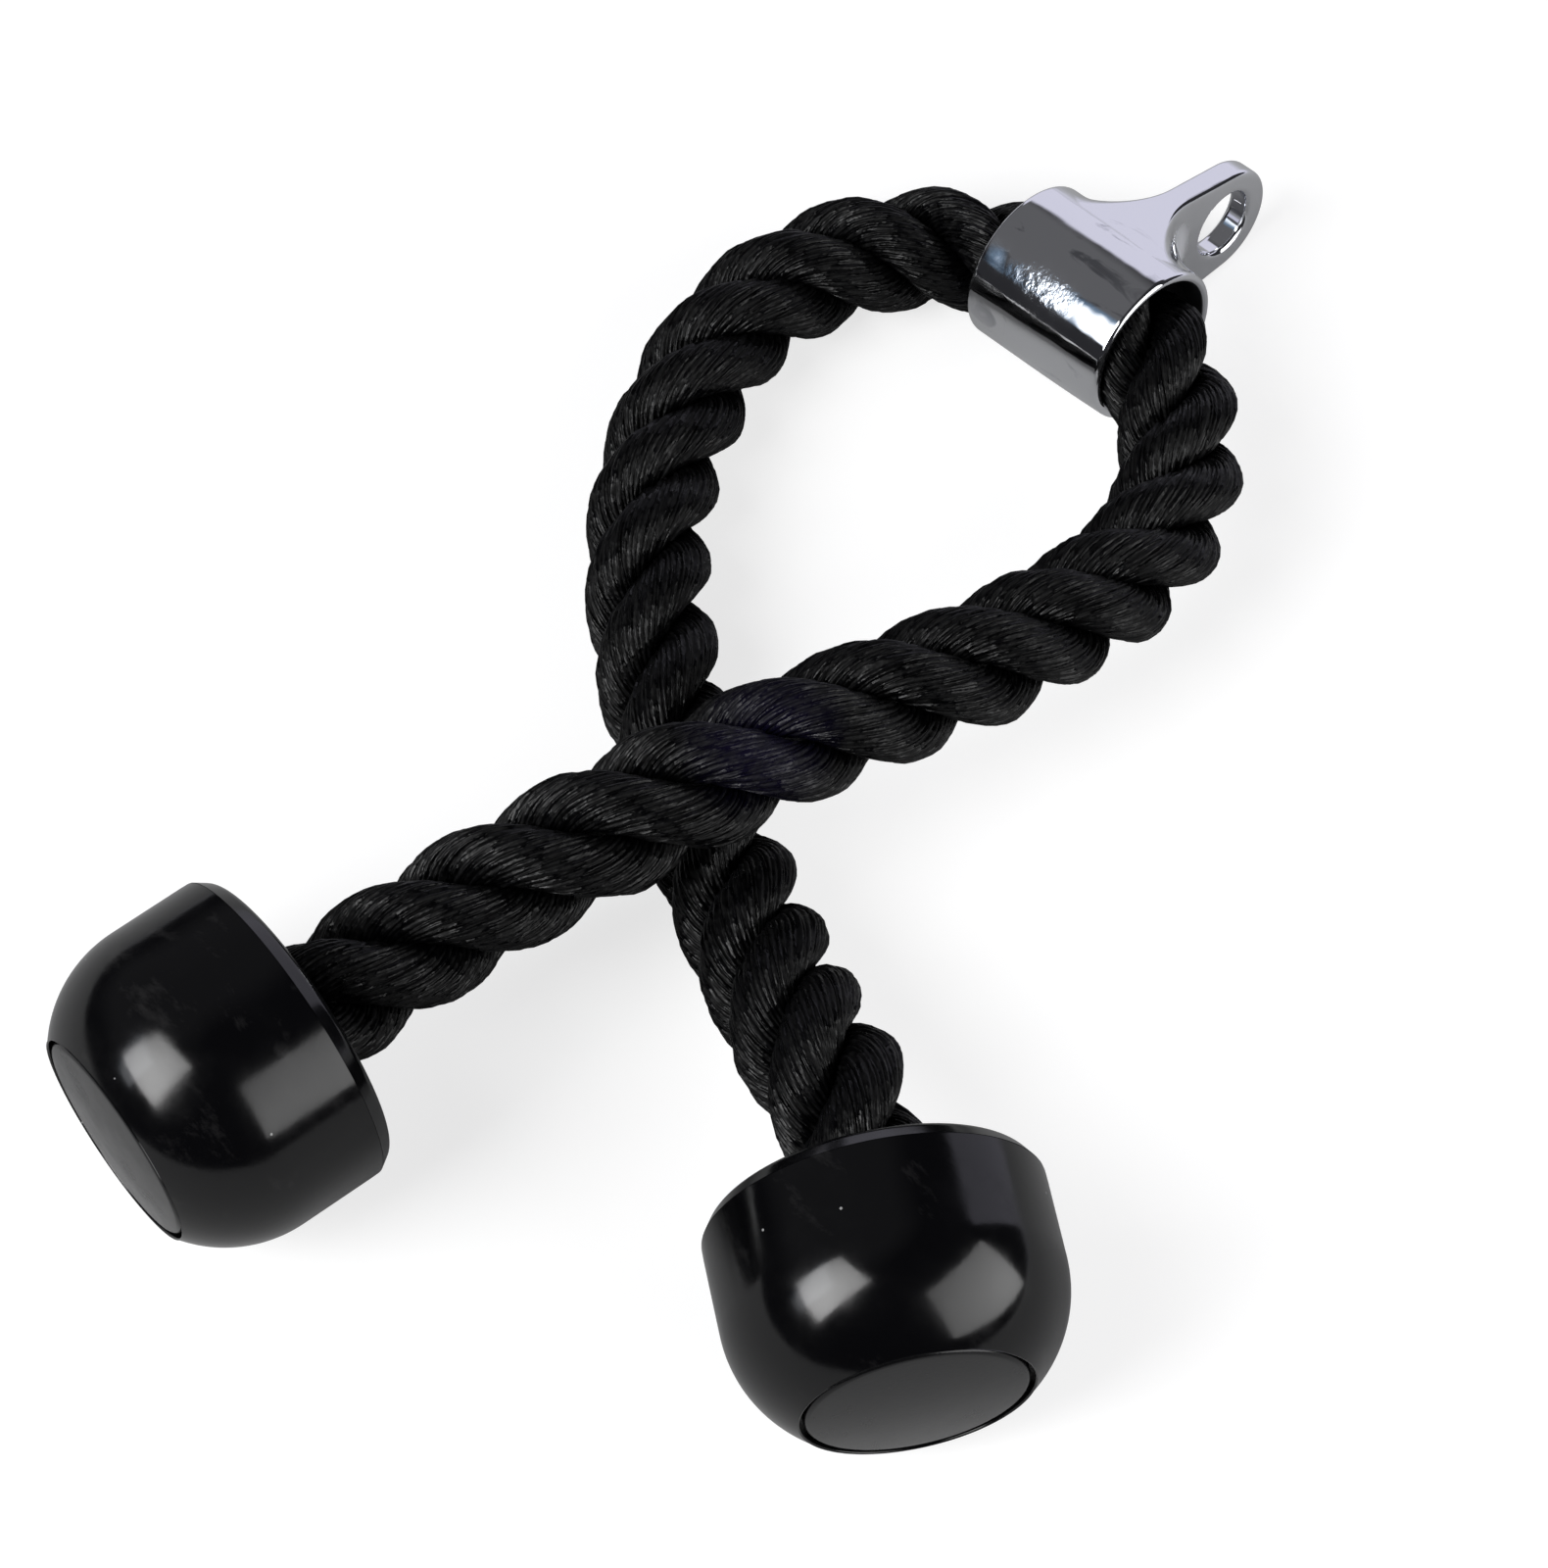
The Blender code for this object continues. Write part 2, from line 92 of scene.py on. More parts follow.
# How tight the lay is, as metres of rope to a full turn of the strands, and how thick the rope is
# over the strands' crowns, both by the distance from the left cut end.
LAY_PLACES = np.array((0, 0.180, 0.215, 0.280, 0.330, 0.420, 0.674))
LAY_PITCHES = np.array((0.0673, 0.0654, 0.0546, 0.0514, 0.0598, 0.0654, 0.0573))
LAY_START = -0.5754            # turns, so that the grooves fall where the photograph has them
LAY_STEPS = 2001
GIRTH_PLACES = np.array((0, 0.026, 0.034, 0.050, 0.100, 0.160, 0.220, 0.300, 0.335, 0.370, 0.500,
                         0.550, 0.585, 0.620, 0.640, 0.648, 0.674))
GIRTH_RADII = np.array((0.0140, 0.0141, 0.0145, 0.0150, 0.0147, 0.0144, 0.0139, 0.0138, 0.0136,
                        0.0138, 0.0139, 0.0143, 0.0149, 0.0154, 0.0146, 0.0141, 0.0140))
STRAND_SHARE = 0.434           # strand radius to rope radius
YARNS = 28                     # seen round one strand
YARN_POINTS = 6                # mesh columns to a yarn
YARN_UNTWIST = 2.3             # turns of a strand's yarns against the lay, to one turn of the rope
YARN_DEPTH = 0.00060
YARN_CROWN = 0.9               # half width of a yarn, to the radius of its crown
YARN_HEIGHT = 0.95             # mean height of a crown, its spread between yarns and its swell
YARN_SPREAD = 0.24             # along one yarn, all as shares of YARN_DEPTH
YARN_SWELL = 0.60
YARN_SPREAD_LIMIT = 1.6        # how many times the spread one yarn may be off
SWELL_WAVELENGTHS = (0.031, 0.014, 0.0083, 0.0053)
WANDER_WAVES = ((3, 0.060), (5, 0.037), (8, 0.023), (11, 0.017))   # waves round, wavelength
WANDER = 0.12                  # how far each of these waves moves a yarn, in yarns
FIRST_SEED = 20                # of the first strand's random draws
ROW_STEP = 0.00132             # rope to one row of the mesh
END_DOME = 0.003
END_POLE = 0.05                # the first ring's radius, to the strand's
CORE_RADIUS = 0.0036           # soft core that fills the gap between the strands
CORE_COLUMNS = 14
CORE_ROWS = 260
FLOOR_CLEAR = 0.0001
UV_PER_METRE = 1000            # the yarns' own map counts yarns across and millimetres along
UV_APART = 37.0                # from one strand's map to the next
YARN_PLAIN = (0.003, 0.003, 0.0035)    # where only a plain colour is read
YARN_BLACK = (0.0002, 0.0002, 0.0003)
# paler colour painted on glinting stretches, a painted highlight, times a random tone per yarn
YARN_PAINTED_GLINT = (0.0020, 0.0020, 0.0026)
INDIGO = (0.006, 0.0045, 0.018)
INDIGO_PLACE = (-0.0322, -0.0225, 0.0570)   # a few yarns' glinting stretches are tinted bluer here
INDIGO_FADE = (0.019, 0.005)   # distances from there, from none to full
FILAMENTS = (4.6, 0.16, 1)     # noise to a yarn's width, and to a millimetre along it
GLINTS = (1.1, 0.40, 1)        # the same for short stretches that catch the light
GLINT_PAINTED_PALE = (0.35, 0.75)      # the glints' noise, from black to pale: a painted highlight on the glinting stretches
GLINT_SHINE = (0.36, 0.64)     # and from dull to shiny
YARN_ROUGHNESS = (0.62, 0.16)  # dull, shiny
FILAMENT_HEIGHT = 0.00012
KINK_HEIGHT = 0.0006


def clamped_spline(points, start_way, end_way, steps):
    """Cubic spline through points, with its way set at both ends.

    With b and a the chords before and after a point, the ways w solve
    a w[-1] + 2 (b + a) w[0] + b w[+1] = 3 (a step[-1] / b + b step[+1] / a) at every inner point.
    Each span is then the Hermite cubic of its two points and two ways.
    """
    step = np.diff(points, axis=0)
    chord = np.linalg.norm(step, axis=1)
    before, after = chord[:-1], chord[1:]
    system = (np.diag(np.concatenate([[1], 2 * (before + after), [1]]))
              + np.diag(np.concatenate([after, [0]]), -1)
              + np.diag(np.concatenate([[0], before]), 1))
    wanted = 3 * ((after / before)[:, None] * step[:-1] + (before / after)[:, None] * step[1:])
    ways = np.linalg.solve(system, np.vstack([start_way, wanted, end_way]))
    t = np.linspace(0, 1, steps, endpoint=False)[None, :, None]
    reach = chord[:, None, None]
    spans = (points[:-1, None] * (1 - t) ** 2 * (1 + 2 * t)
             + ways[:-1, None] * reach * t * (1 - t) ** 2
             + points[1:, None] * t ** 2 * (3 - 2 * t)
             - ways[1:, None] * reach * t ** 2 * (1 - t))
    return np.vstack([spans.reshape(-1, 3), points[-1:]])


def unit(vectors):
    """Each row divided by its own length."""
    return vectors / np.linalg.norm(vectors, axis=-1, keepdims=True)


def travelled(points):
    """Distance along a run of points, from its first one."""
    return np.concatenate([[0], np.cumsum(np.linalg.norm(np.diff(points, axis=0), axis=1))])


def at_distances(points, distances):
    """Points at the given distances along a run of points."""
    along = travelled(points)
    return np.stack([np.interp(distances, along, points[:, k]) for k in range(3)], axis=1)


def rope_route():
    """The centreline: straight in both stoppers, and one clamped spline between them."""
    in_collar = [COLLAR_CENTRE + BORE_WAY * BORE_RUN - BORE_DIP, COLLAR_CENTRE + BORE_RISE,
                 COLLAR_CENTRE - BORE_WAY * BORE_RUN - BORE_DIP]
    knots = np.vstack([LEFT_MOUTH - LEFT_WAY * STRAIGHT_OUTSIDE, LEFT_ARM, in_collar, RIGHT_ARM,
                       RIGHT_MOUTH - RIGHT_WAY * STRAIGHT_OUTSIDE])
    free = clamped_spline(knots, -LEFT_WAY, RIGHT_WAY, SPLINE_STEPS)
    inside = np.linspace(ROPE_INSIDE, -STRAIGHT_OUTSIDE, INSIDE_STEPS, endpoint=False)[:, None]
    return np.vstack([LEFT_MOUTH + LEFT_WAY * inside, free,
                      (RIGHT_MOUTH + RIGHT_WAY * inside)[::-1]])


def put_mesh(name, points, blocks, material, uv=None, smooth=True):
    """A mesh object from arrays: points (n, 3), blocks of faces (m, 3 or 4), each corner's uv."""
    mesh = bpy.data.meshes.new(name)
    blocks = [np.asarray(block, dtype=np.int32) for block in blocks]
    sides = np.concatenate([np.full(len(block), block.shape[1]) for block in blocks])
    corners = np.concatenate([block.ravel() for block in blocks])
    starts = np.concatenate([[0], np.cumsum(sides)[:-1]]).astype(np.int32)
    mesh.vertices.add(len(points))
    mesh.vertices.foreach_set("co", np.asarray(points, dtype=np.float32).ravel())
    mesh.loops.add(len(corners))
    mesh.loops.foreach_set("vertex_index", corners)
    mesh.polygons.add(len(sides))
    mesh.polygons.foreach_set("loop_start", starts)
    mesh.polygons.foreach_set("use_smooth", np.full(len(sides), smooth))
    if uv is not None:
        layer = mesh.uv_layers.new(name="UVMap")
        layer.data.foreach_set("uv", np.asarray(uv, dtype=np.float32).ravel())
    mesh.update(calc_edges=True)
    mesh.validate()
    mesh.materials.append(material)
    piece = bpy.data.objects.new(name, mesh)
    bpy.context.scene.collection.objects.link(piece)
    return piece


def tube_faces(rows, around):
    """Quads (row, column) to (row + 1, column + 1) of a grid that closes round its columns."""
    row, column = np.meshgrid(np.arange(rows - 1), np.arange(around), indexing="ij")
    following = (column + 1) % around
    return np.stack([row * around + column, row * around + following,
                     (row + 1) * around + following, (row + 1) * around + column],
                    axis=-1).reshape(-1, 4)


def strand_surface(route, number, seed):
    """One strand: its points (row, column), each column's yarn, each row's distance and middle.

    The strand's middle goes round the route at a radius of rope radius less strand radius, by one
    turn for every pitch. A ring of the strand radius stands square on that helix, and its start
    angle turns back by YARN_UNTWIST turns to a pitch, so that the columns run along the yarns. Each
    yarn lifts the surface by a rounded crown of YARN_DEPTH, more or less by slow waves of its own.
    """
    length = travelled(route)[-1]
    along = np.linspace(0, length, int(length / ROW_STEP) + 1)
    middle = at_distances(route, along)
    way = unit(np.gradient(middle, along, axis=0))
    left = unit(np.cross(CAMERA_PLACE - middle, way))
    front = np.cross(way, left)
    fine = np.linspace(0, length, LAY_STEPS)
    rate = np.interp(fine, LAY_PLACES, 1 / LAY_PITCHES)
    gained = np.cumsum((rate[1:] + rate[:-1]) / 2) * (fine[1] - fine[0])
    turns = np.interp(along, fine, LAY_START + np.concatenate([[0], gained]))
    angle = 2 * math.pi * (turns + 1 / 6 + number / 3)
    out = np.cos(angle)[:, None] * left + np.sin(angle)[:, None] * front
    rope_radius = np.interp(along, GIRTH_PLACES * length / ROPE_LENGTH, GIRTH_RADII)
    strand_radius = rope_radius * STRAND_SHARE
    core = middle + (rope_radius - strand_radius)[:, None] * out
    strand_way = unit(np.gradient(core, along, axis=0))
    out = unit(out - np.sum(out * strand_way, axis=1, keepdims=True) * strand_way)
    across = np.cross(strand_way, out)

    random = np.random.default_rng(seed)
    columns = np.arange(YARNS * YARN_POINTS)
    yarn = columns / YARN_POINTS
    turn = 2 * math.pi * yarn / YARNS
    wander = np.zeros((len(along), len(columns)))
    for waves, wavelength in WANDER_WAVES:
        start = random.uniform(0, 2 * math.pi)
        wander += np.sin(waves * turn[None] + 2 * math.pi * along[:, None] / wavelength + start)
    crown = 2 * (yarn % 1) - 1
    foot = math.sqrt(1 - YARN_CROWN ** 2)
    crown = (np.sqrt(1 - (YARN_CROWN * crown) ** 2) - foot) / (1 - foot)
    owner = columns // YARN_POINTS
    starts = random.uniform(0, 2 * math.pi, (len(SWELL_WAVELENGTHS), YARNS))
    swell = np.zeros((len(along), YARNS))
    for start, wavelength in zip(starts, SWELL_WAVELENGTHS):
        swell += np.sin(2 * math.pi * along[:, None] / wavelength + start) / len(starts)
    spread = random.standard_normal(YARNS).clip(-YARN_SPREAD_LIMIT, YARN_SPREAD_LIMIT)
    lift = (YARN_DEPTH * (YARN_HEIGHT + YARN_SPREAD * spread + YARN_SWELL * swell)[:, owner]
            * crown[None])
    ring = (2 * math.pi * yarn[None] / YARNS - 2 * math.pi * YARN_UNTWIST * turns[:, None]
            + wander * WANDER * 2 * math.pi / YARNS)
    from_end = np.minimum(along, length - along).clip(0, END_DOME)
    dome = np.sqrt(1 - (1 - from_end / END_DOME) ** 2).clip(END_POLE, 1)
    reach = (strand_radius[:, None] - YARN_DEPTH + lift) * dome[:, None]
    points = (core[:, None] + reach[..., None] * (np.cos(ring)[..., None] * out[:, None]
                                                  + np.sin(ring)[..., None] * across[:, None]))
    points[..., 2] = np.maximum(points[..., 2], FLOOR_CLEAR)
    return points, yarn, travelled(core), core


def core_surface(route):
    """The same four for the core: a ring of CORE_RADIUS square on the route at every step."""
    length = travelled(route)[-1]
    along = np.linspace(END_DOME, length - END_DOME, CORE_ROWS)
    middle = at_distances(route, along)
    way = unit(np.gradient(middle, along, axis=0))
    left = unit(np.cross(CAMERA_PLACE - middle, way))
    turn = 2 * math.pi * np.arange(CORE_COLUMNS)[None, :, None] / CORE_COLUMNS
    ring = np.cos(turn) * left[:, None] + np.sin(turn) * np.cross(way, left)[:, None]
    return middle[:, None] + CORE_RADIUS * ring, np.arange(CORE_COLUMNS), along, middle


def rope_piece(name, surface, number, material):
    """A closed tube: its grid of quads, and a fan of triangles round the pole of each end."""
    points, yarn, along, core = surface
    rows, around = points.shape[:2]
    column = np.arange(around)
    following = (column + 1) % around
    first, last = rows * around, rows * around + 1
    start_fan = np.stack([np.full(around, first), following, column], axis=1)
    end_fan = np.stack([np.full(around, last), (rows - 1) * around + column,
                        (rows - 1) * around + following], axis=1)
    vertices = np.vstack([points.reshape(-1, 3), core[0], core[-1]])
    row_of, column_of = np.meshgrid(np.arange(rows - 1), column, indexing="ij")
    yarn_step = yarn[1] - yarn[0]
    along = along * UV_PER_METRE
    low, high = yarn[column_of], yarn[column_of] + yarn_step
    early, late = along[row_of], along[row_of + 1]
    uv = np.stack([np.stack([low, early], -1), np.stack([high, early], -1),
                   np.stack([high, late], -1), np.stack([low, late], -1)], axis=2).reshape(-1, 2)
    fan_uv = np.stack([np.stack([yarn, yarn + yarn_step, yarn], axis=1).ravel(),
                       np.zeros(3 * around)], axis=1)
    uv = np.vstack([uv, fan_uv, fan_uv + (0, along[-1])]) + (number * YARNS, number * UV_APART)
    piece = put_mesh(name, vertices, [tube_faces(rows, around), start_fan, end_fan], material, uv)
    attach(piece, "rope_assembly")
    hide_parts("rope")
    return piece


def wire(tree, kind, values=None, **settings):
    """A new node with its settings, and each named socket set to a number or joined to another."""
    node = tree.nodes.new(kind)
    for name, value in settings.items():
        setattr(node, name, value)
    for socket, value in (values or {}).items():
        if isinstance(value, bpy.types.NodeSocket):
            tree.links.new(value, node.inputs[socket])
        else:
            node.inputs[socket].default_value = value
    return node


def reckon(tree, operation, *values):
    """What a Math node makes of numbers and sockets."""
    return wire(tree, "ShaderNodeMath", dict(enumerate(values)), operation=operation).outputs[0]


def product(tree, first, second):
    """Two values multiplied."""
    return reckon(tree, "MULTIPLY", first, second)


def ramp(tree, value, start, end, low=0.0, high=1.0):
    """A value's way from start to end as low to high, flat outside them; end may be below start."""
    return wire(tree, "ShaderNodeMapRange", {"Value": value, "From Min": start, "From Max": end,
                                             "To Min": low, "To Max": high}).outputs["Result"]


def blend(tree, share, first, second):
    """The first colour where share is 0, the second where it is 1."""
    first, second = [(*colour, 1) if isinstance(colour, tuple) else colour
                     for colour in (first, second)]
    return wire(tree, "ShaderNodeMix", {"Factor": share, "A": first, "B": second},
                data_type="RGBA").outputs["Result"]


def reckon_way(tree, operation, *values):
    """What a Vector Math node makes of vectors: a number for a length, distance or dot product."""
    node = wire(tree, "ShaderNodeVectorMath", dict(enumerate(values)), operation=operation)
    single = operation in ("LENGTH", "DISTANCE", "DOT_PRODUCT")
    return node.outputs["Value" if single else "Vector"]


def noise(tree, place, scale, detail, **others):
    """Noise over a place. A scale of three numbers, with a turn, draws it out one way."""
    if isinstance(scale, tuple):
        turn = others.pop("turn", (0, 0, 0))
        place = wire(tree, "ShaderNodeMapping", {"Vector": place, "Rotation": turn,
                                                 "Scale": scale}).outputs["Vector"]
        scale = 1.0
    return wire(tree, "ShaderNodeTexNoise", {"Vector": place, "Scale": scale, "Detail": detail,
                                             **others}).outputs["Fac"]


def bump(tree, height, strength, distance, **under):
    """The normal bent by a height, over another Normal where one is given."""
    return wire(tree, "ShaderNodeBump", {"Height": height, "Strength": strength,
                                         "Distance": distance, **under}).outputs["Normal"]


def new_finish(name, colour, roughness, metallic=0.0, **others):
    """A material, its nodes and its shader, plain until other values are joined to it."""
    material = bpy.data.materials.new(name)
    material.use_nodes = True
    tree = material.node_tree
    shader = tree.nodes["Principled BSDF"]
    others.update(Base_Color=(*colour, 1), Roughness=roughness, Metallic=metallic)
    for socket, value in others.items():
        shader.inputs[socket.replace("_", " ")].default_value = value
    return material, tree, shader


def vary(tree, shader, colour, roughness, normal):
    """Joins what changes over the surface to the shader."""
    for name, socket in (("Base Color", colour), ("Roughness", roughness), ("Normal", normal)):
        tree.links.new(socket, shader.inputs[name])


def yarn_finish():
    """Black polypropylene yarn: fine bright filaments along each yarn, duller in the grooves."""
    material, tree, shader = new_finish("polypropylene_yarn", YARN_PLAIN, roughness=0.36,
                                        Specular_IOR_Level=0.20)
    place = wire(tree, "ShaderNodeUVMap", uv_map="UVMap").outputs["UV"]
    filaments = noise(tree, place, FILAMENTS, detail=3, Roughness=0.6)
    glints = noise(tree, place, GLINTS, detail=2, Roughness=0.5)
    across = wire(tree, "ShaderNodeSeparateXYZ", {"Vector": place}).outputs["X"]
    own_tone = wire(tree, "ShaderNodeTexWhiteNoise", {"W": reckon(tree, "FLOOR", across)},
                    noise_dimensions="1D").outputs["Value"]
    # Painted highlight: the glinting stretches are painted paler, times a random tone per yarn.
    tone = product(tree, ramp(tree, glints, *GLINT_PAINTED_PALE), own_tone)
    colour = blend(tree, tone, YARN_BLACK, YARN_PAINTED_GLINT)
    on_rope = wire(tree, "ShaderNodeTexCoord").outputs["Object"]
    away = reckon_way(tree, "DISTANCE", on_rope, INDIGO_PLACE)
    colour = blend(tree, product(tree, ramp(tree, away, *INDIGO_FADE), glints), colour, INDIGO)
    rough = ramp(tree, glints, *GLINT_SHINE, *YARN_ROUGHNESS)
    normal = bump(tree, glints, strength=1.0, distance=KINK_HEIGHT)
    normal = bump(tree, filaments, strength=0.6, distance=FILAMENT_HEIGHT, Normal=normal)
    vary(tree, shader, colour, rough, normal)
    return material


rope_centreline = rope_route()
yarn = yarn_finish()
for number in range(3):
    surface = strand_surface(rope_centreline, number, FIRST_SEED + number)
    rope_piece(f"rope_strand_{number + 1}", surface, number, yarn)
rope_piece("rope_core", core_surface(rope_centreline), 3, yarn)


# Eye collar. One casting, polished and chrome plated: a sleeve loose on the rope with a flat eye
# plate standing on it, and a wide fillet where they meet.
COLLAR_RADIUS = 0.0188
COLLAR_TAPER = 0.0004          # how much slimmer the sleeve is at its right rim
TAPER_START = 0.25             # where that starts, before the middle, to the half length
COLLAR_BORE_RADIUS = 0.0163
COLLAR_HALF_LENGTH = 0.0196
COLLAR_RIM_ROUND = 0.0012
COLLAR_BORE_LIP = 0.0009
EYE_DISTANCE = 0.0415
EYE_RADIUS = 0.0135
EYE_HOLE_RADIUS = 0.0080
EYE_HOLE_ROUND = 0.0014
PLATE_HALF_THICKNESS = 0.0031
PLATE_EDGE_ROUND = 0.0013
SADDLE_FILLET = 0.013
COLLAR_MESH_STEP = 0.00045
MESH_ROOM_LOW = 0.001          # grid beyond the collar, on its low and high sides
MESH_ROOM_HIGH = 0.0015
SETTLE_ROUNDS = 4              # times that the points are drawn onto the surface
# The collar's own axes as columns: along the bore, to the eye, and square to both.
COLLAR_TURN = np.array([[0.990268, 0.025551, -0.136807], [0, 0.983003, 0.183593],
                        [0.139173, -0.181806, 0.973437]])
CHROME = (0.80, 0.81, 0.84)
SCRATCH = (0.38, 0.39, 0.42)
# darker colour inside the bore
BORE_DARK = (0.12, 0.12, 0.13)
WORN_PLACE = (-0.002, -0.0125, 0.0140)   # this and the root in the collar's own frame
WORN_FADE = (0.003, 0.011)     # distances from there, from fully worn to not at all
SCRATCH_FADE = (0.028, 0.014)  # distances from there, from no scratches to all of them
ROOT_PLACE = (0.0064, 0.0222, 0.0040)
ROOT_FADE = (0.0095, 0.0050)   # distances from there, from bright to dull
BORE_FADE = (COLLAR_BORE_RADIUS + 0.0003, COLLAR_BORE_RADIUS + 0.0001)
WORN_ROUGHER = 0.04
ROOT_ROUGHER = 0.45
BORE_ROUGHER = 0.40
SCRATCHES = (50.0, 150.0, 95.0)
SCRATCH_DEPTH = (0.58, 0.66)   # the scratches' noise, from none to a full scratch
PIT_CELLS = 420.0              # cells to a metre, of which a few get a pit
PIT_CHOSEN = 0.93
PIT_EDGE = (0.05, 0.13)        # from a pit's floor to its rim, in cells
CLOUD_FADE = (0.38, 0.70)
GRAIN_HEIGHT = 0.0001


def joined(first, second, radius):
    """Distance to two shapes joined with a fillet: radius less the length of what both lack."""
    lack = np.hypot(np.maximum(radius - first, 0), np.maximum(radius - second, 0))
    return np.maximum(radius, np.minimum(first, second)) - lack


def shared(first, second, radius):
    """Distance to what two shapes share, with the edge between them rounded to a radius."""
    over = np.hypot(np.maximum(radius + first, 0), np.maximum(radius + second, 0))
    return np.minimum(-radius, np.maximum(first, second)) + over


def collar_distance(points):
    """Signed distance to the collar's surface, in its own frame: x along the bore, y to the eye.

    The sleeve is a round bar with rounded rims. From TAPER_START of its half length before the
    middle it gets slimmer with the square of the way, by COLLAR_TAPER at the right rim. The plate
    is a slab that flares onto the bar with the saddle fillet, kept inside the outline of two
    circles and their tangents. Bore and eye hole are taken out with rounded edges.
    """
    x, y, z = points.T
    reach = np.hypot(y, z)
    towards_rim = np.maximum(x / COLLAR_HALF_LENGTH + TAPER_START, 0) / (1 + TAPER_START)
    barrel = reach - COLLAR_RADIUS + COLLAR_TAPER * towards_rim ** 2
    sleeve = shared(barrel, np.abs(x) - COLLAR_HALF_LENGTH, COLLAR_RIM_ROUND)
    slab = joined(barrel, np.abs(x) - PLATE_HALF_THICKNESS, SADDLE_FILLET)
    root = COLLAR_RADIUS - PLATE_EDGE_ROUND / 2
    lean = (root - EYE_RADIUS) / EYE_DISTANCE
    side = math.sqrt(1 - lean * lean)
    z = np.abs(z)
    height = side * y - lean * z
    round_eye = np.hypot(z, y - EYE_DISTANCE)
    outline = np.where(height < 0, reach - root,
                       np.where(height > side * EYE_DISTANCE, round_eye - EYE_RADIUS,
                                side * z + lean * y - root))
    plate = np.maximum(shared(slab, outline, PLATE_EDGE_ROUND),
                       np.abs(x) - PLATE_HALF_THICKNESS - SADDLE_FILLET)
    body = shared(np.minimum(sleeve, plate), COLLAR_BORE_RADIUS - reach, COLLAR_BORE_LIP)
    return shared(body, EYE_HOLE_RADIUS - round_eye, EYE_HOLE_ROUND)


def slope_of(distance, points, step=0.00002):
    """How the distance grows along x, y and z, by central differences."""
    moves = np.eye(3) * step
    return np.stack([distance(points + move) - distance(points - move) for move in moves],
                    axis=1) / (2 * step)


def net_over(distance, low, high, step):
    """Points (n, 3) and quads (m, 4) of a net over a surface that is given by its signed distance.

    Each cell of a grid that the surface cuts gets one point, the mean of the cuts on its edges.
    Each cut edge of the grid joins the points of the four cells round it to a quad that faces out.
    """
    axes = [np.arange(low[k], high[k], step) for k in range(3)]
    value = distance(np.stack(np.meshgrid(*axes, indexing="ij"), axis=-1).reshape(-1, 3))
    value = value.reshape([len(axis) for axis in axes])
    cells = np.array(value.shape) - 1
    total, cuts, quads = np.zeros((*cells, 3)), np.zeros(cells), []
    for way in range(3):
        order = (way, (way + 1) % 3, (way + 2) % 3)
        before, after = value.transpose(order)[:-1], value.transpose(order)[1:]
        cut = (before < 0) != (after < 0)
        share = np.divide(before, before - after, out=np.zeros(cut.shape), where=cut)
        seen, place = cuts.transpose(order), total.transpose(*order, 3)
        for b in (0, 1):
            for c in (0, 1):
                edge = (slice(None), slice(b, b + cells[order[1]]), slice(c, c + cells[order[2]]))
                seen += cut[edge]
                place[..., order[0]] += share[edge]
                place[..., order[1]] += b * cut[edge]
                place[..., order[2]] += c * cut[edge]
        i, j, k = np.argwhere(cut[:, 1:-1, 1:-1]).T
        cell = np.arange(cells.prod()).reshape(cells).transpose(order)
        ring = np.stack([cell[i, j, k], cell[i, j + 1, k], cell[i, j + 1, k + 1],
                         cell[i, j, k + 1]], axis=1)
        leaving = before[i, j + 1, k + 1] < 0
        quads.append(np.where(leaving[:, None], ring, ring[:, ::-1]))
    used = cuts > 0
    points = (np.argwhere(used) + total[used] / cuts[used][:, None]) * step + low
    new_number = np.cumsum(used.ravel()) - 1
    return points, new_number[np.vstack(quads)]


def clouded_grain():
    """A node group for the hard finishes: roughness in soft clouds, and a fine grain as a bump.

    Roughness goes from Smooth to Rough while noise of Cloud Scale goes over CLOUD_FADE. Normal is
    bent by noise of Grain Scale that is Grain times GRAIN_HEIGHT high.
    """
    group = bpy.data.node_groups.new("clouded_grain", "ShaderNodeTree")
    group.interface.new_socket("Place", in_out="INPUT", socket_type="NodeSocketVector")
    for name in ("Cloud Scale", "Smooth", "Rough", "Grain Scale", "Grain"):
        group.interface.new_socket(name, in_out="INPUT", socket_type="NodeSocketFloat")
    group.interface.new_socket("Roughness", in_out="OUTPUT", socket_type="NodeSocketFloat")
    group.interface.new_socket("Normal", in_out="OUTPUT", socket_type="NodeSocketVector")
    given = wire(group, "NodeGroupInput").outputs
    cloud = noise(group, given["Place"], given["Cloud Scale"], detail=4, Roughness=0.6)
    grain = noise(group, given["Place"], given["Grain Scale"], detail=2)
    wire(group, "NodeGroupOutput", {
        "Roughness": ramp(group, cloud, *CLOUD_FADE, given["Smooth"], given["Rough"]),
        "Normal": bump(group, grain, strength=given["Grain"], distance=GRAIN_HEIGHT)})
    return group


hard_surface = clouded_grain()


def clouded(tree, place, cloud_scale, smooth, rough, grain_scale, grain):
    """The group in a material with its own values: its Roughness and its Normal."""
    node = wire(tree, "ShaderNodeGroup", {
        "Place": place, "Cloud Scale": cloud_scale, "Smooth": smooth, "Rough": rough,
        "Grain Scale": grain_scale, "Grain": grain}, node_tree=hard_surface)
    return node.outputs["Roughness"], node.outputs["Normal"]


def chosen_cells(tree, place, scale, least):
    """Distance to the middle of each cell, and 1 in the few cells whose number is over least."""
    cells = wire(tree, "ShaderNodeTexVoronoi", {"Vector": place, "Scale": scale}, feature="F1")
    return cells.outputs["Distance"], reckon(tree, "GREATER_THAN", cells.outputs["Color"], least)


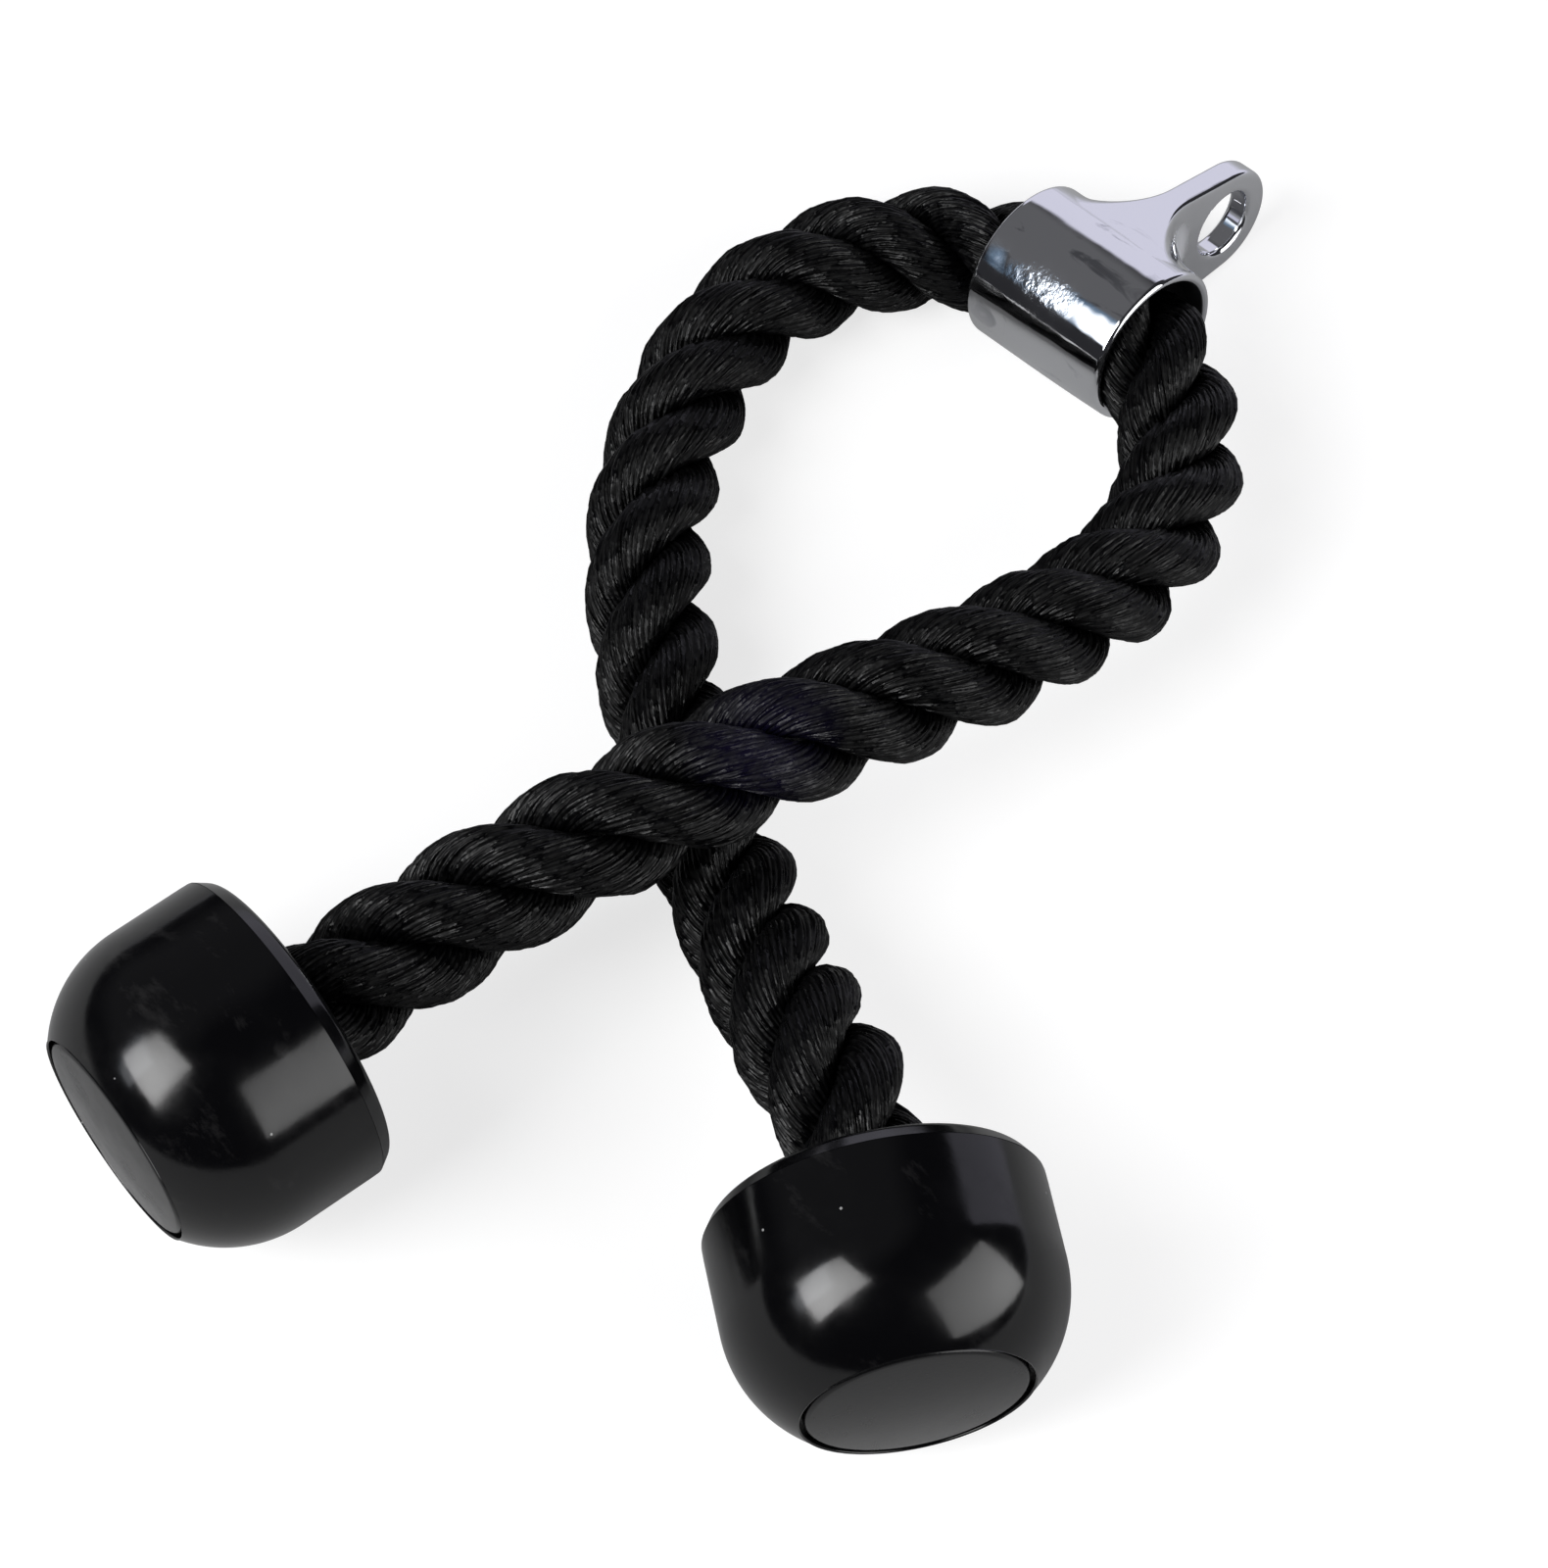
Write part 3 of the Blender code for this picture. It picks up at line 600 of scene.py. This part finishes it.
def chrome_finish(worn_place, root_place, bore_place, bore_way):
    """Bright chrome over a hand-polished casting, with soft waves, small pits and dark scratches.

    One patch is worn hazy, the plate's root is duller, and the bore is rougher and darker.
    """
    material, tree, shader = new_finish("bright_chrome", CHROME, roughness=0.07, metallic=1.0)
    place = wire(tree, "ShaderNodeTexCoord").outputs["Object"]
    rough, normal = clouded(tree, place, cloud_scale=160, smooth=0.04, rough=0.10,
                            grain_scale=300, grain=0.02)
    away = reckon_way(tree, "DISTANCE", place, worn_place)
    worn = ramp(tree, away, *WORN_FADE, 1.0, 0.0)
    dull = ramp(tree, reckon_way(tree, "DISTANCE", place, root_place), *ROOT_FADE)
    across = reckon_way(tree, "CROSS_PRODUCT", reckon_way(tree, "SUBTRACT", place, bore_place),
                        bore_way)
    in_bore = ramp(tree, reckon_way(tree, "LENGTH", across), *BORE_FADE)
    for share, rougher in ((worn, WORN_ROUGHER), (dull, ROOT_ROUGHER), (in_bore, BORE_ROUGHER)):
        rough = reckon(tree, "MULTIPLY_ADD", share, rougher, rough)
    scratches = noise(tree, place, SCRATCHES, detail=5, turn=(0.3, 0.5, 0.6), Roughness=0.6,
                      Distortion=1.2)
    scratched = product(tree, ramp(tree, scratches, *SCRATCH_DEPTH),
                        ramp(tree, away, *SCRATCH_FADE))
    colour = blend(tree, in_bore, blend(tree, scratched, CHROME, SCRATCH), BORE_DARK)
    to_pit, with_pit = chosen_cells(tree, place, PIT_CELLS, PIT_CHOSEN)
    pit = product(tree, ramp(tree, to_pit, *PIT_EDGE, -1.0, 0.0), with_pit)
    normal = bump(tree, pit, strength=0.4, distance=0.0002, Normal=normal)
    haze = product(tree, noise(tree, place, scale=620, detail=3), worn)
    normal = bump(tree, haze, strength=0.8, distance=0.00014, Normal=normal)
    waves = noise(tree, place, scale=110, detail=1)
    normal = bump(tree, waves, strength=0.5, distance=0.0003, Normal=normal)
    vary(tree, shader, colour, rough, normal)
    return material


collar_low = np.array((-COLLAR_HALF_LENGTH, -COLLAR_RADIUS, -COLLAR_RADIUS)) - MESH_ROOM_LOW
collar_high = np.array((COLLAR_HALF_LENGTH, EYE_DISTANCE + EYE_RADIUS, COLLAR_RADIUS))
collar_high += MESH_ROOM_HIGH
collar_points, collar_quads = net_over(collar_distance, collar_low, collar_high, COLLAR_MESH_STEP)
for _ in range(SETTLE_ROUNDS):
    slope = slope_of(collar_distance, collar_points)
    collar_points -= (collar_distance(collar_points) / np.sum(slope ** 2, axis=1))[:, None] * slope
collar_facing = unit(slope_of(collar_distance, collar_points)) @ COLLAR_TURN.T
chrome = chrome_finish(COLLAR_CENTRE + COLLAR_TURN @ WORN_PLACE,
                       COLLAR_CENTRE + COLLAR_TURN @ ROOT_PLACE, COLLAR_CENTRE, COLLAR_TURN[:, 0])
collar = put_mesh("chrome_eye_collar", collar_points @ COLLAR_TURN.T + COLLAR_CENTRE,
                  [collar_quads], chrome)
collar.data.normals_split_custom_set_from_vertices(collar_facing.tolist())
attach(collar, "collar")
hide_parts("eye_collar")


# Hand stoppers. Each is one glossy black moulding, a thick cup bored for the rope at its mouth,
# with a rounded shoulder at the other end where the cap sits.
STOPPER_RADIUS = 0.035
STOPPER_LENGTH = 0.045
STOPPER_BORE_RADIUS = 0.0146
STOPPER_BORE_START = 0.0020    # the bore's first ring past its lip
MOUTH_WALL = 0.008
MOUTH_BAND = 0.0040            # sloped band round the mouth
BAND_SLOPE = 34                # degrees from the axis
BAND_END = np.array((0.03337, 0.0015))
BAND_ROUND = 0.0033
BAND_CLEAR = 0.0003            # from the band's groove to the outer wall's last ring
MOUTH_CLEAR = 0.001            # from the band's rounding in to the mouth face's first ring
# The groove is the moulding's parting line, (radius, along) from the corner where the band starts.
GROOVE = np.array(((-0.00004, 0.00014), (-0.0002, 0.0001), (-0.0002, -0.00012),
                   (-0.0001, -0.00018)))
BORE_LIP = 0.0015
SHOULDER_RADIUS = 0.028
SHOULDER_RUN_OUT = 0.001       # from the shoulder's foot to the outer wall's first ring
SHOULDER_TAKEN = 1             # degrees of it that the rebate's rounding takes
CAVITY_RADIUS = 0.021
CAP_RADIUS = 0.0227
CAP_FLANGE = 0.0030
CAP_EDGE_GAP = 0.0008
SEAT_GAP = 0.0003
CAP_INSET = 0.0004             # from the stopper's end in to the CAD disc's face
CAP_SEAT = STOPPER_LENGTH - CAP_FLANGE - CAP_INSET
REBATE_ROUND = 0.0004
REBATE_ROUND_DROP = 0.0001     # from the stopper's end to the top of that rounding
TURN_STEPS = 180
SHARP_ANGLE = math.radians(38)
MOULDING_BLACK = (0.0014, 0.0014, 0.0018)
DUST = (0.0160, 0.0155, 0.0160)
DUST_SCALE = (50.0, 130.0, 80.0)
DUST_EDGE = (0.58, 0.76)       # the dust's noise, from none to full
SPECK = (0.30, 0.30, 0.30)
SPECK_CELLS = 190.0
SPECK_CHOSEN = 0.72
SPECK_SIZE = 0.055             # radius, to a cell's size


def arc(radius_centre, along_centre, radius, start, end, steps):
    """Outline points (radius, along) on an arc, by its angles in degrees."""
    angle = np.radians(np.linspace(start, end, steps + 1))
    return np.stack([radius_centre + radius * np.cos(angle), along_centre + radius * np.sin(angle)],
                    axis=1)


def straight(start, end, steps):
    """Outline points on a straight line, without its last one."""
    return np.linspace(start, end, steps, endpoint=False)


def turned_piece(name, outline, mouth, way, material, closed):
    """The outline (radius, along) turned round the stopper's axis.

    A point is mouth + along way + radius (cos turn up + sin turn side). A closed outline joins its
    last point to its first; an open one starts and ends on the axis, where a fan closes it.
    """
    up = np.array((0, 0, 1.0))
    side = np.cross(way, up)
    turn = np.linspace(0, 2 * math.pi, TURN_STEPS, endpoint=False)
    spoke = np.cos(turn)[:, None] * up + np.sin(turn)[:, None] * side
    ring = outline if closed else outline[1:-1]
    points = mouth + ring[:, 1, None, None] * way + ring[:, 0, None, None] * spoke
    rows = len(ring)
    vertices = points.reshape(-1, 3)
    blocks = [tube_faces(rows, TURN_STEPS)]
    column = np.arange(TURN_STEPS)
    following = (column + 1) % TURN_STEPS
    last_row = (rows - 1) * TURN_STEPS
    if closed:
        blocks.append(np.stack([last_row + column, last_row + following, following, column],
                               axis=1))
    else:
        vertices = np.vstack([vertices, mouth + outline[0, 1] * way, mouth + outline[-1, 1] * way])
        first, last = np.full((2, TURN_STEPS), [[len(vertices) - 2], [len(vertices) - 1]])
        blocks.append(np.stack([first, following, column], axis=1))
        blocks.append(np.stack([last, last_row + column, last_row + following], axis=1))
    piece = put_mesh(name, vertices, blocks, material)
    work = bmesh.new()
    work.from_mesh(piece.data)
    bmesh.ops.recalc_face_normals(work, faces=work.faces)
    work.to_mesh(piece.data)
    work.free()
    piece.data.set_sharp_from_angle(angle=SHARP_ANGLE)
    return piece


def stopper_outline():
    """From the mouth's bore lip through bore, cavity and rebate, over the shoulder and back."""
    rebate = CAP_RADIUS + CAP_EDGE_GAP
    rebate_floor = CAP_SEAT - SEAT_GAP
    turn_in = math.degrees(math.acos(1 - (STOPPER_RADIUS - rebate) / SHOULDER_RADIUS))
    shoulder_start = STOPPER_LENGTH - SHOULDER_RADIUS * math.sin(math.radians(turn_in))
    slope = math.radians(BAND_SLOPE)
    round_centre = BAND_END - BAND_ROUND * np.array((math.cos(slope), -math.sin(slope)))
    band_corner = np.array((STOPPER_RADIUS, MOUTH_BAND))
    return np.vstack([
        arc(STOPPER_BORE_RADIUS + BORE_LIP, BORE_LIP, BORE_LIP, 270, 180, 6),
        straight((STOPPER_BORE_RADIUS, STOPPER_BORE_START), (STOPPER_BORE_RADIUS, MOUTH_WALL), 3),
        straight((STOPPER_BORE_RADIUS, MOUTH_WALL), (CAVITY_RADIUS, MOUTH_WALL), 3),
        straight((CAVITY_RADIUS, MOUTH_WALL), (CAVITY_RADIUS, rebate_floor), 6),
        straight((CAVITY_RADIUS, rebate_floor), (rebate, rebate_floor), 2),
        straight((rebate, rebate_floor), (rebate, STOPPER_LENGTH - REBATE_ROUND), 3),
        arc(rebate + REBATE_ROUND, STOPPER_LENGTH - REBATE_ROUND - REBATE_ROUND_DROP, REBATE_ROUND,
            180, 90, 4),
        arc(STOPPER_RADIUS - SHOULDER_RADIUS, shoulder_start, SHOULDER_RADIUS,
            turn_in - SHOULDER_TAKEN, 0, 40),
        straight((STOPPER_RADIUS, shoulder_start - SHOULDER_RUN_OUT),
                 band_corner + (0, BAND_CLEAR), 10),
        band_corner + GROOVE[:-1],
        straight(band_corner + GROOVE[-1], BAND_END, 6),
        arc(*round_centre, BAND_ROUND, -BAND_SLOPE, -90, 12),
        straight(round_centre - (MOUTH_CLEAR, BAND_ROUND), (STOPPER_BORE_RADIUS + BORE_LIP, 0), 4),
    ])


def moulding_finish():
    """Glossy moulded black: a faint orange peel, a thin film of dust and a few pale specks."""
    material, tree, shader = new_finish("glossy_moulding", MOULDING_BLACK, roughness=0.10,
                                        Specular_IOR_Level=0.45)
    place = wire(tree, "ShaderNodeTexCoord").outputs["Object"]
    rough, peel = clouded(tree, place, cloud_scale=90, smooth=0.11, rough=0.20,
                          grain_scale=420, grain=0.12)
    to_speck, with_speck = chosen_cells(tree, place, SPECK_CELLS, SPECK_CHOSEN)
    speck = product(tree, reckon(tree, "LESS_THAN", to_speck, SPECK_SIZE), with_speck)
    film = noise(tree, place, DUST_SCALE, detail=7, turn=(0.2, 0.4, 0.5), Roughness=0.7)
    filmed = blend(tree, ramp(tree, film, *DUST_EDGE), MOULDING_BLACK, DUST)
    vary(tree, shader, blend(tree, speck, filmed, SPECK), rough, peel)
    return material


moulding = moulding_finish()
for side, mouth, way in (("left", LEFT_MOUTH, LEFT_WAY), ("right", RIGHT_MOUTH, RIGHT_WAY)):
    stopper = turned_piece(f"{side}_hand_stopper", stopper_outline(), mouth, way, moulding,
                           closed=True)
    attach(stopper, f"{side}_end")
    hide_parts(f"{side}_stopper")


# End caps. A satin black plastic disc, slightly crowned, pressed into each stopper's open end with
# a skirt that plugs the cavity. A fine dark joint shows all round it.
CAP_SKIRT_DEPTH = 0.007
CAP_SKIRT_WALL = 0.0020
CAP_CROWN = 0.0013
CAP_EDGE_ROUND = 0.0012
CAP_DROP = 0.0002              # from the stopper's end in to the disc's edge
CAP_BLACK = (0.0040, 0.0040, 0.0045)
# painted reflection of the floor, paling the disc towards its lower edge
CAP_PAINTED_REFLECTION = (0.0900, 0.0900, 0.0910)
CAP_PAINTED_REFLECTION_HEIGHTS = (0.046, 0.012)   # above the table, from none of the painted floor reflection to full


def cap_outline():
    """From the axis under the disc, down and up the skirt, out to the flange and over the crown."""
    top = STOPPER_LENGTH - CAP_DROP
    crown_radius = (CAP_RADIUS ** 2 + CAP_CROWN ** 2) / (2 * CAP_CROWN)
    edge = CAP_RADIUS - CAP_EDGE_ROUND
    crown = np.linspace(edge, 0, 16)
    crown_height = top + CAP_CROWN - crown_radius + np.sqrt(crown_radius ** 2 - crown ** 2)
    skirt = CAVITY_RADIUS - SEAT_GAP
    bottom = CAP_SEAT - CAP_SKIRT_DEPTH
    return np.vstack([
        straight((0, CAP_SEAT), (skirt - CAP_SKIRT_WALL, CAP_SEAT), 4),
        straight((skirt - CAP_SKIRT_WALL, CAP_SEAT), (skirt - CAP_SKIRT_WALL, bottom), 4),
        straight((skirt - CAP_SKIRT_WALL, bottom), (skirt, bottom), 2),
        straight((skirt, bottom), (skirt, CAP_SEAT), 4),
        straight((skirt, CAP_SEAT), (CAP_RADIUS, CAP_SEAT), 2),
        straight((CAP_RADIUS, CAP_SEAT), (CAP_RADIUS, top - CAP_EDGE_ROUND), 3),
        arc(edge, crown_height[0] - CAP_EDGE_ROUND, CAP_EDGE_ROUND, 0, 86, 8),
        np.stack([crown[1:], crown_height[1:]], axis=1),
    ])


def cap_finish():
    """Satin moulded plastic, smoother and rougher in clouds, paler below: a painted reflection."""
    material, tree, shader = new_finish("satin_cap", CAP_BLACK, roughness=0.25,
                                        Specular_IOR_Level=0.42)
    place = wire(tree, "ShaderNodeTexCoord").outputs["Object"]
    height = wire(tree, "ShaderNodeSeparateXYZ", {"Vector": place}).outputs["Z"]
    # Painted reflection: the colour pales towards the table, in place of the mirrored floor.
    lower = ramp(tree, height, *CAP_PAINTED_REFLECTION_HEIGHTS)
    rough, grain = clouded(tree, place, cloud_scale=110, smooth=0.21, rough=0.29,
                           grain_scale=1500, grain=0.20)
    colour = blend(tree, product(tree, lower, lower), CAP_BLACK, CAP_PAINTED_REFLECTION)
    vary(tree, shader, colour, rough, grain)
    return material


cap_plastic = cap_finish()
for side, mouth, way in (("left", LEFT_MOUTH, LEFT_WAY), ("right", RIGHT_MOUTH, RIGHT_WAY)):
    cap = turned_piece(f"{side}_cap_disc", cap_outline(), mouth, way, cap_plastic, closed=False)
    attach(cap, f"{side}_end")
    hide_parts(f"{side}_end_cap")


# Crimp rings and thrust washers. Zinc-plated steel on the rope's ends inside the stoppers, so the
# CAD nodes stay and only get their finish.
ZINC = (0.60, 0.60, 0.59)
ZINC_DARK = (0.48, 0.49, 0.50)
ZINC_PALE = (0.66, 0.66, 0.64)
ZINC_CLOUDS = 0.06             # how much rougher or smoother it is in clouds


def zinc_finish(name, spangle_scale, roughness):
    """Zinc plate: spangles of a lighter and a darker grey, and a coarse grain."""
    material, tree, shader = new_finish(name, ZINC, roughness, metallic=1.0)
    place = wire(tree, "ShaderNodeTexCoord").outputs["Object"]
    spangles = wire(tree, "ShaderNodeTexVoronoi", {"Vector": place, "Scale": spangle_scale},
                    feature="F1").outputs["Color"]
    rough, grain = clouded(tree, place, cloud_scale=150, smooth=roughness - ZINC_CLOUDS,
                           rough=roughness + ZINC_CLOUDS, grain_scale=700, grain=0.30)
    vary(tree, shader, blend(tree, spangles, ZINC_DARK, ZINC_PALE), rough, grain)
    return material


crimp_zinc = zinc_finish("crimp_zinc", spangle_scale=380, roughness=0.42)
washer_zinc = zinc_finish("washer_zinc", spangle_scale=260, roughness=0.34)
for side in ("left", "right"):
    for node, zinc in ((f"{side}_crimp_ring", crimp_zinc), (f"{side}_thrust_washer", washer_zinc)):
        for holder in bpy.data.objects[node].material_slots:
            holder.material = zinc


# Floor and light. A pale table in a dim studio, with a large softbox to the left, a weaker one to
# the right, a lavender backdrop behind that the chrome mirrors, and a white card beside the left
# softbox.
FLOOR_HALF = 0.75
FLOOR_HEIGHT = -0.0001
FLOOR_COLOUR = (0.38, 0.38, 0.38)
FLOOR_GLOW = (0.72, 0.72, 0.72)        # what makes the table white to the camera
FLOOR_GLOW_IN_GLOSS = (0.03, 0.03, 0.03)
SWEEP_WAY = (-0.41, 0.91, 0)   # towards the backdrop, which lights the far side of the table
SWEEP_FADE = (0.22, 0.42)
SWEEP_GLOW = (0.36, 0.355, 0.44)
BLACK, WHITE = (0, 0, 0), (1, 1, 1)
DARK_STUDIO = (0.026, 0.026, 0.029)
STUDIO_WALL = (0.124, 0.124, 0.130)
WALL_WAY = (-0.669, 0, 0.743)
WALL_FADE = (0.70, 0.86)       # cosines of the angle to that way, from outside the wall to inside
BACKDROP = (0.75, 0.74, 0.86)
BACKDROP_MIDDLE = 1.99         # its azimuth, in radians like the rest of these
BACKDROP_HALF = 0.63
BACKDROP_TOP = (0.56, 0.50)    # heights on the unit sphere, from outside the backdrop to inside
CARD = (2.00, 2.08, 2.20)
CARD_FRINGE = (0.15, 0.23, 0.33)       # dim blue beside its edge
CARD_EDGE = -2.212             # at CARD_EDGE_ELEVATION; a radian higher up it is CARD_LEAN less
CARD_LEAN = 0.6
CARD_EDGE_ELEVATION = 0.524
CARD_EDGE_FADE = (-0.03, 0.02)         # past that edge, from outside to inside
FRINGE_FADE = (-0.09, -0.04)
CARD_END = (-1.90, -1.92)
CARD_FOOT = (0.29, 0.34)       # heights, like the backdrop's
CARD_TOP = (0.76, 0.71)
LAMP_HEART = (0.75, 0.30, 0)   # brightest place on a softbox, as shares of its sides
LAMP_FADE = (0.1, 1.0, 1.32, 0.55)     # distances from there, and the strengths at them


def softbox(name, centre, across, rise, radiance):
    """A flat lamp with its centre and two sides given, turned to shine towards the rope.

    Its power is pi times its radiance times its area. Its lower left is brighter than its upper
    right.
    """
    side = unit(np.array(across))
    back = unit(np.cross(across, rise))
    up = np.cross(back, side)
    light = bpy.data.lights.new(name, "AREA")
    light.shape = "RECTANGLE"
    light.size = np.dot(across, side)
    light.size_y = np.dot(rise, up)
    light.energy = math.pi * radiance * light.size * light.size_y
    light.use_nodes = True
    glow = light.node_tree
    shares = wire(glow, "ShaderNodeNewGeometry").outputs["Parametric"]
    strength = ramp(glow, reckon_way(glow, "DISTANCE", shares, LAMP_HEART), *LAMP_FADE)
    glow.links.new(strength, glow.nodes["Emission"].inputs["Strength"])
    lamp = bpy.data.objects.new(name, light)
    lamp.location = centre
    lamp.rotation_euler = Matrix(np.stack([side, up, back], axis=1).tolist()).to_euler()
    lamp.visible_camera = False
    bpy.context.scene.collection.objects.link(lamp)


softbox("left_softbox", centre=(-0.407, -1.035, 1.110), across=(0.958, 0.069, -0.250),
        rise=(0.089, 0.601, 0.892), radiance=7.2)
softbox("right_softbox", centre=(0.952, 0.356, 0.553), across=(-0.255, 1.211, -0.255),
        rise=(-0.460, -0.021, 0.815), radiance=3.1)

floor_finish, floor_tree, floor_shader = new_finish("pale_table", FLOOR_COLOUR, roughness=0.9,
                                                    Specular_IOR_Level=0.0, Emission_Strength=1.0)
seen = wire(floor_tree, "ShaderNodeLightPath").outputs
in_gloss = reckon(floor_tree, "MAXIMUM", seen["Is Glossy Ray"], seen["Is Transmission Ray"])
floor_place = wire(floor_tree, "ShaderNodeTexCoord").outputs["Object"]
far = ramp(floor_tree, reckon_way(floor_tree, "DOT_PRODUCT", floor_place, SWEEP_WAY), *SWEEP_FADE)
glow = blend(floor_tree, far, FLOOR_GLOW_IN_GLOSS, SWEEP_GLOW)
glow = blend(floor_tree, in_gloss, BLACK, glow)
glow = blend(floor_tree, seen["Is Camera Ray"], glow, FLOOR_GLOW)
floor_tree.links.new(glow, floor_shader.inputs["Emission Color"])
floor_corners = np.array([(-1, -1, 0), (1, -1, 0), (1, 1, 0), (-1, 1, 0)]) * FLOOR_HALF
floor = put_mesh("floor", floor_corners + (0, 0, FLOOR_HEIGHT), [np.array([[0, 1, 2, 3]])],
                 floor_finish, smooth=False)

world = bpy.data.worlds.new("studio")
world.use_nodes = True
bpy.context.scene.world = world
sky = world.node_tree
gaze = wire(sky, "ShaderNodeTexCoord").outputs["Generated"]
place = wire(sky, "ShaderNodeSeparateXYZ", {"Vector": gaze}).outputs
height = place["Z"]
azimuth = reckon(sky, "ARCTAN2", place["Y"], place["X"])
elevation = reckon(sky, "ARCSINE", height)
backdrop = product(sky, reckon(sky, "COMPARE", azimuth, BACKDROP_MIDDLE, BACKDROP_HALF),
                   ramp(sky, height, *BACKDROP_TOP))
wall = ramp(sky, reckon_way(sky, "DOT_PRODUCT", gaze, WALL_WAY), *WALL_FADE)
lean = reckon(sky, "MULTIPLY_ADD", elevation, CARD_LEAN,
              -CARD_EDGE - CARD_LEAN * CARD_EDGE_ELEVATION)
past_edge = reckon(sky, "ADD", azimuth, lean)
within = product(sky, ramp(sky, azimuth, *CARD_END),
                 product(sky, ramp(sky, height, *CARD_FOOT), ramp(sky, height, *CARD_TOP)))
card = product(sky, ramp(sky, past_edge, *CARD_EDGE_FADE), within)
fringe = product(sky, ramp(sky, past_edge, *FRINGE_FADE), within)
by_camera = wire(sky, "ShaderNodeLightPath").outputs["Is Camera Ray"]
tone = DARK_STUDIO
for share, colour in ((wall, STUDIO_WALL), (fringe, CARD_FRINGE), (card, CARD),
                      (backdrop, BACKDROP), (by_camera, WHITE)):
    tone = blend(sky, share, tone, colour)
sky.links.new(tone, sky.nodes["Background"].inputs["Color"])
bpy.context.scene.view_settings.view_transform = "Standard"
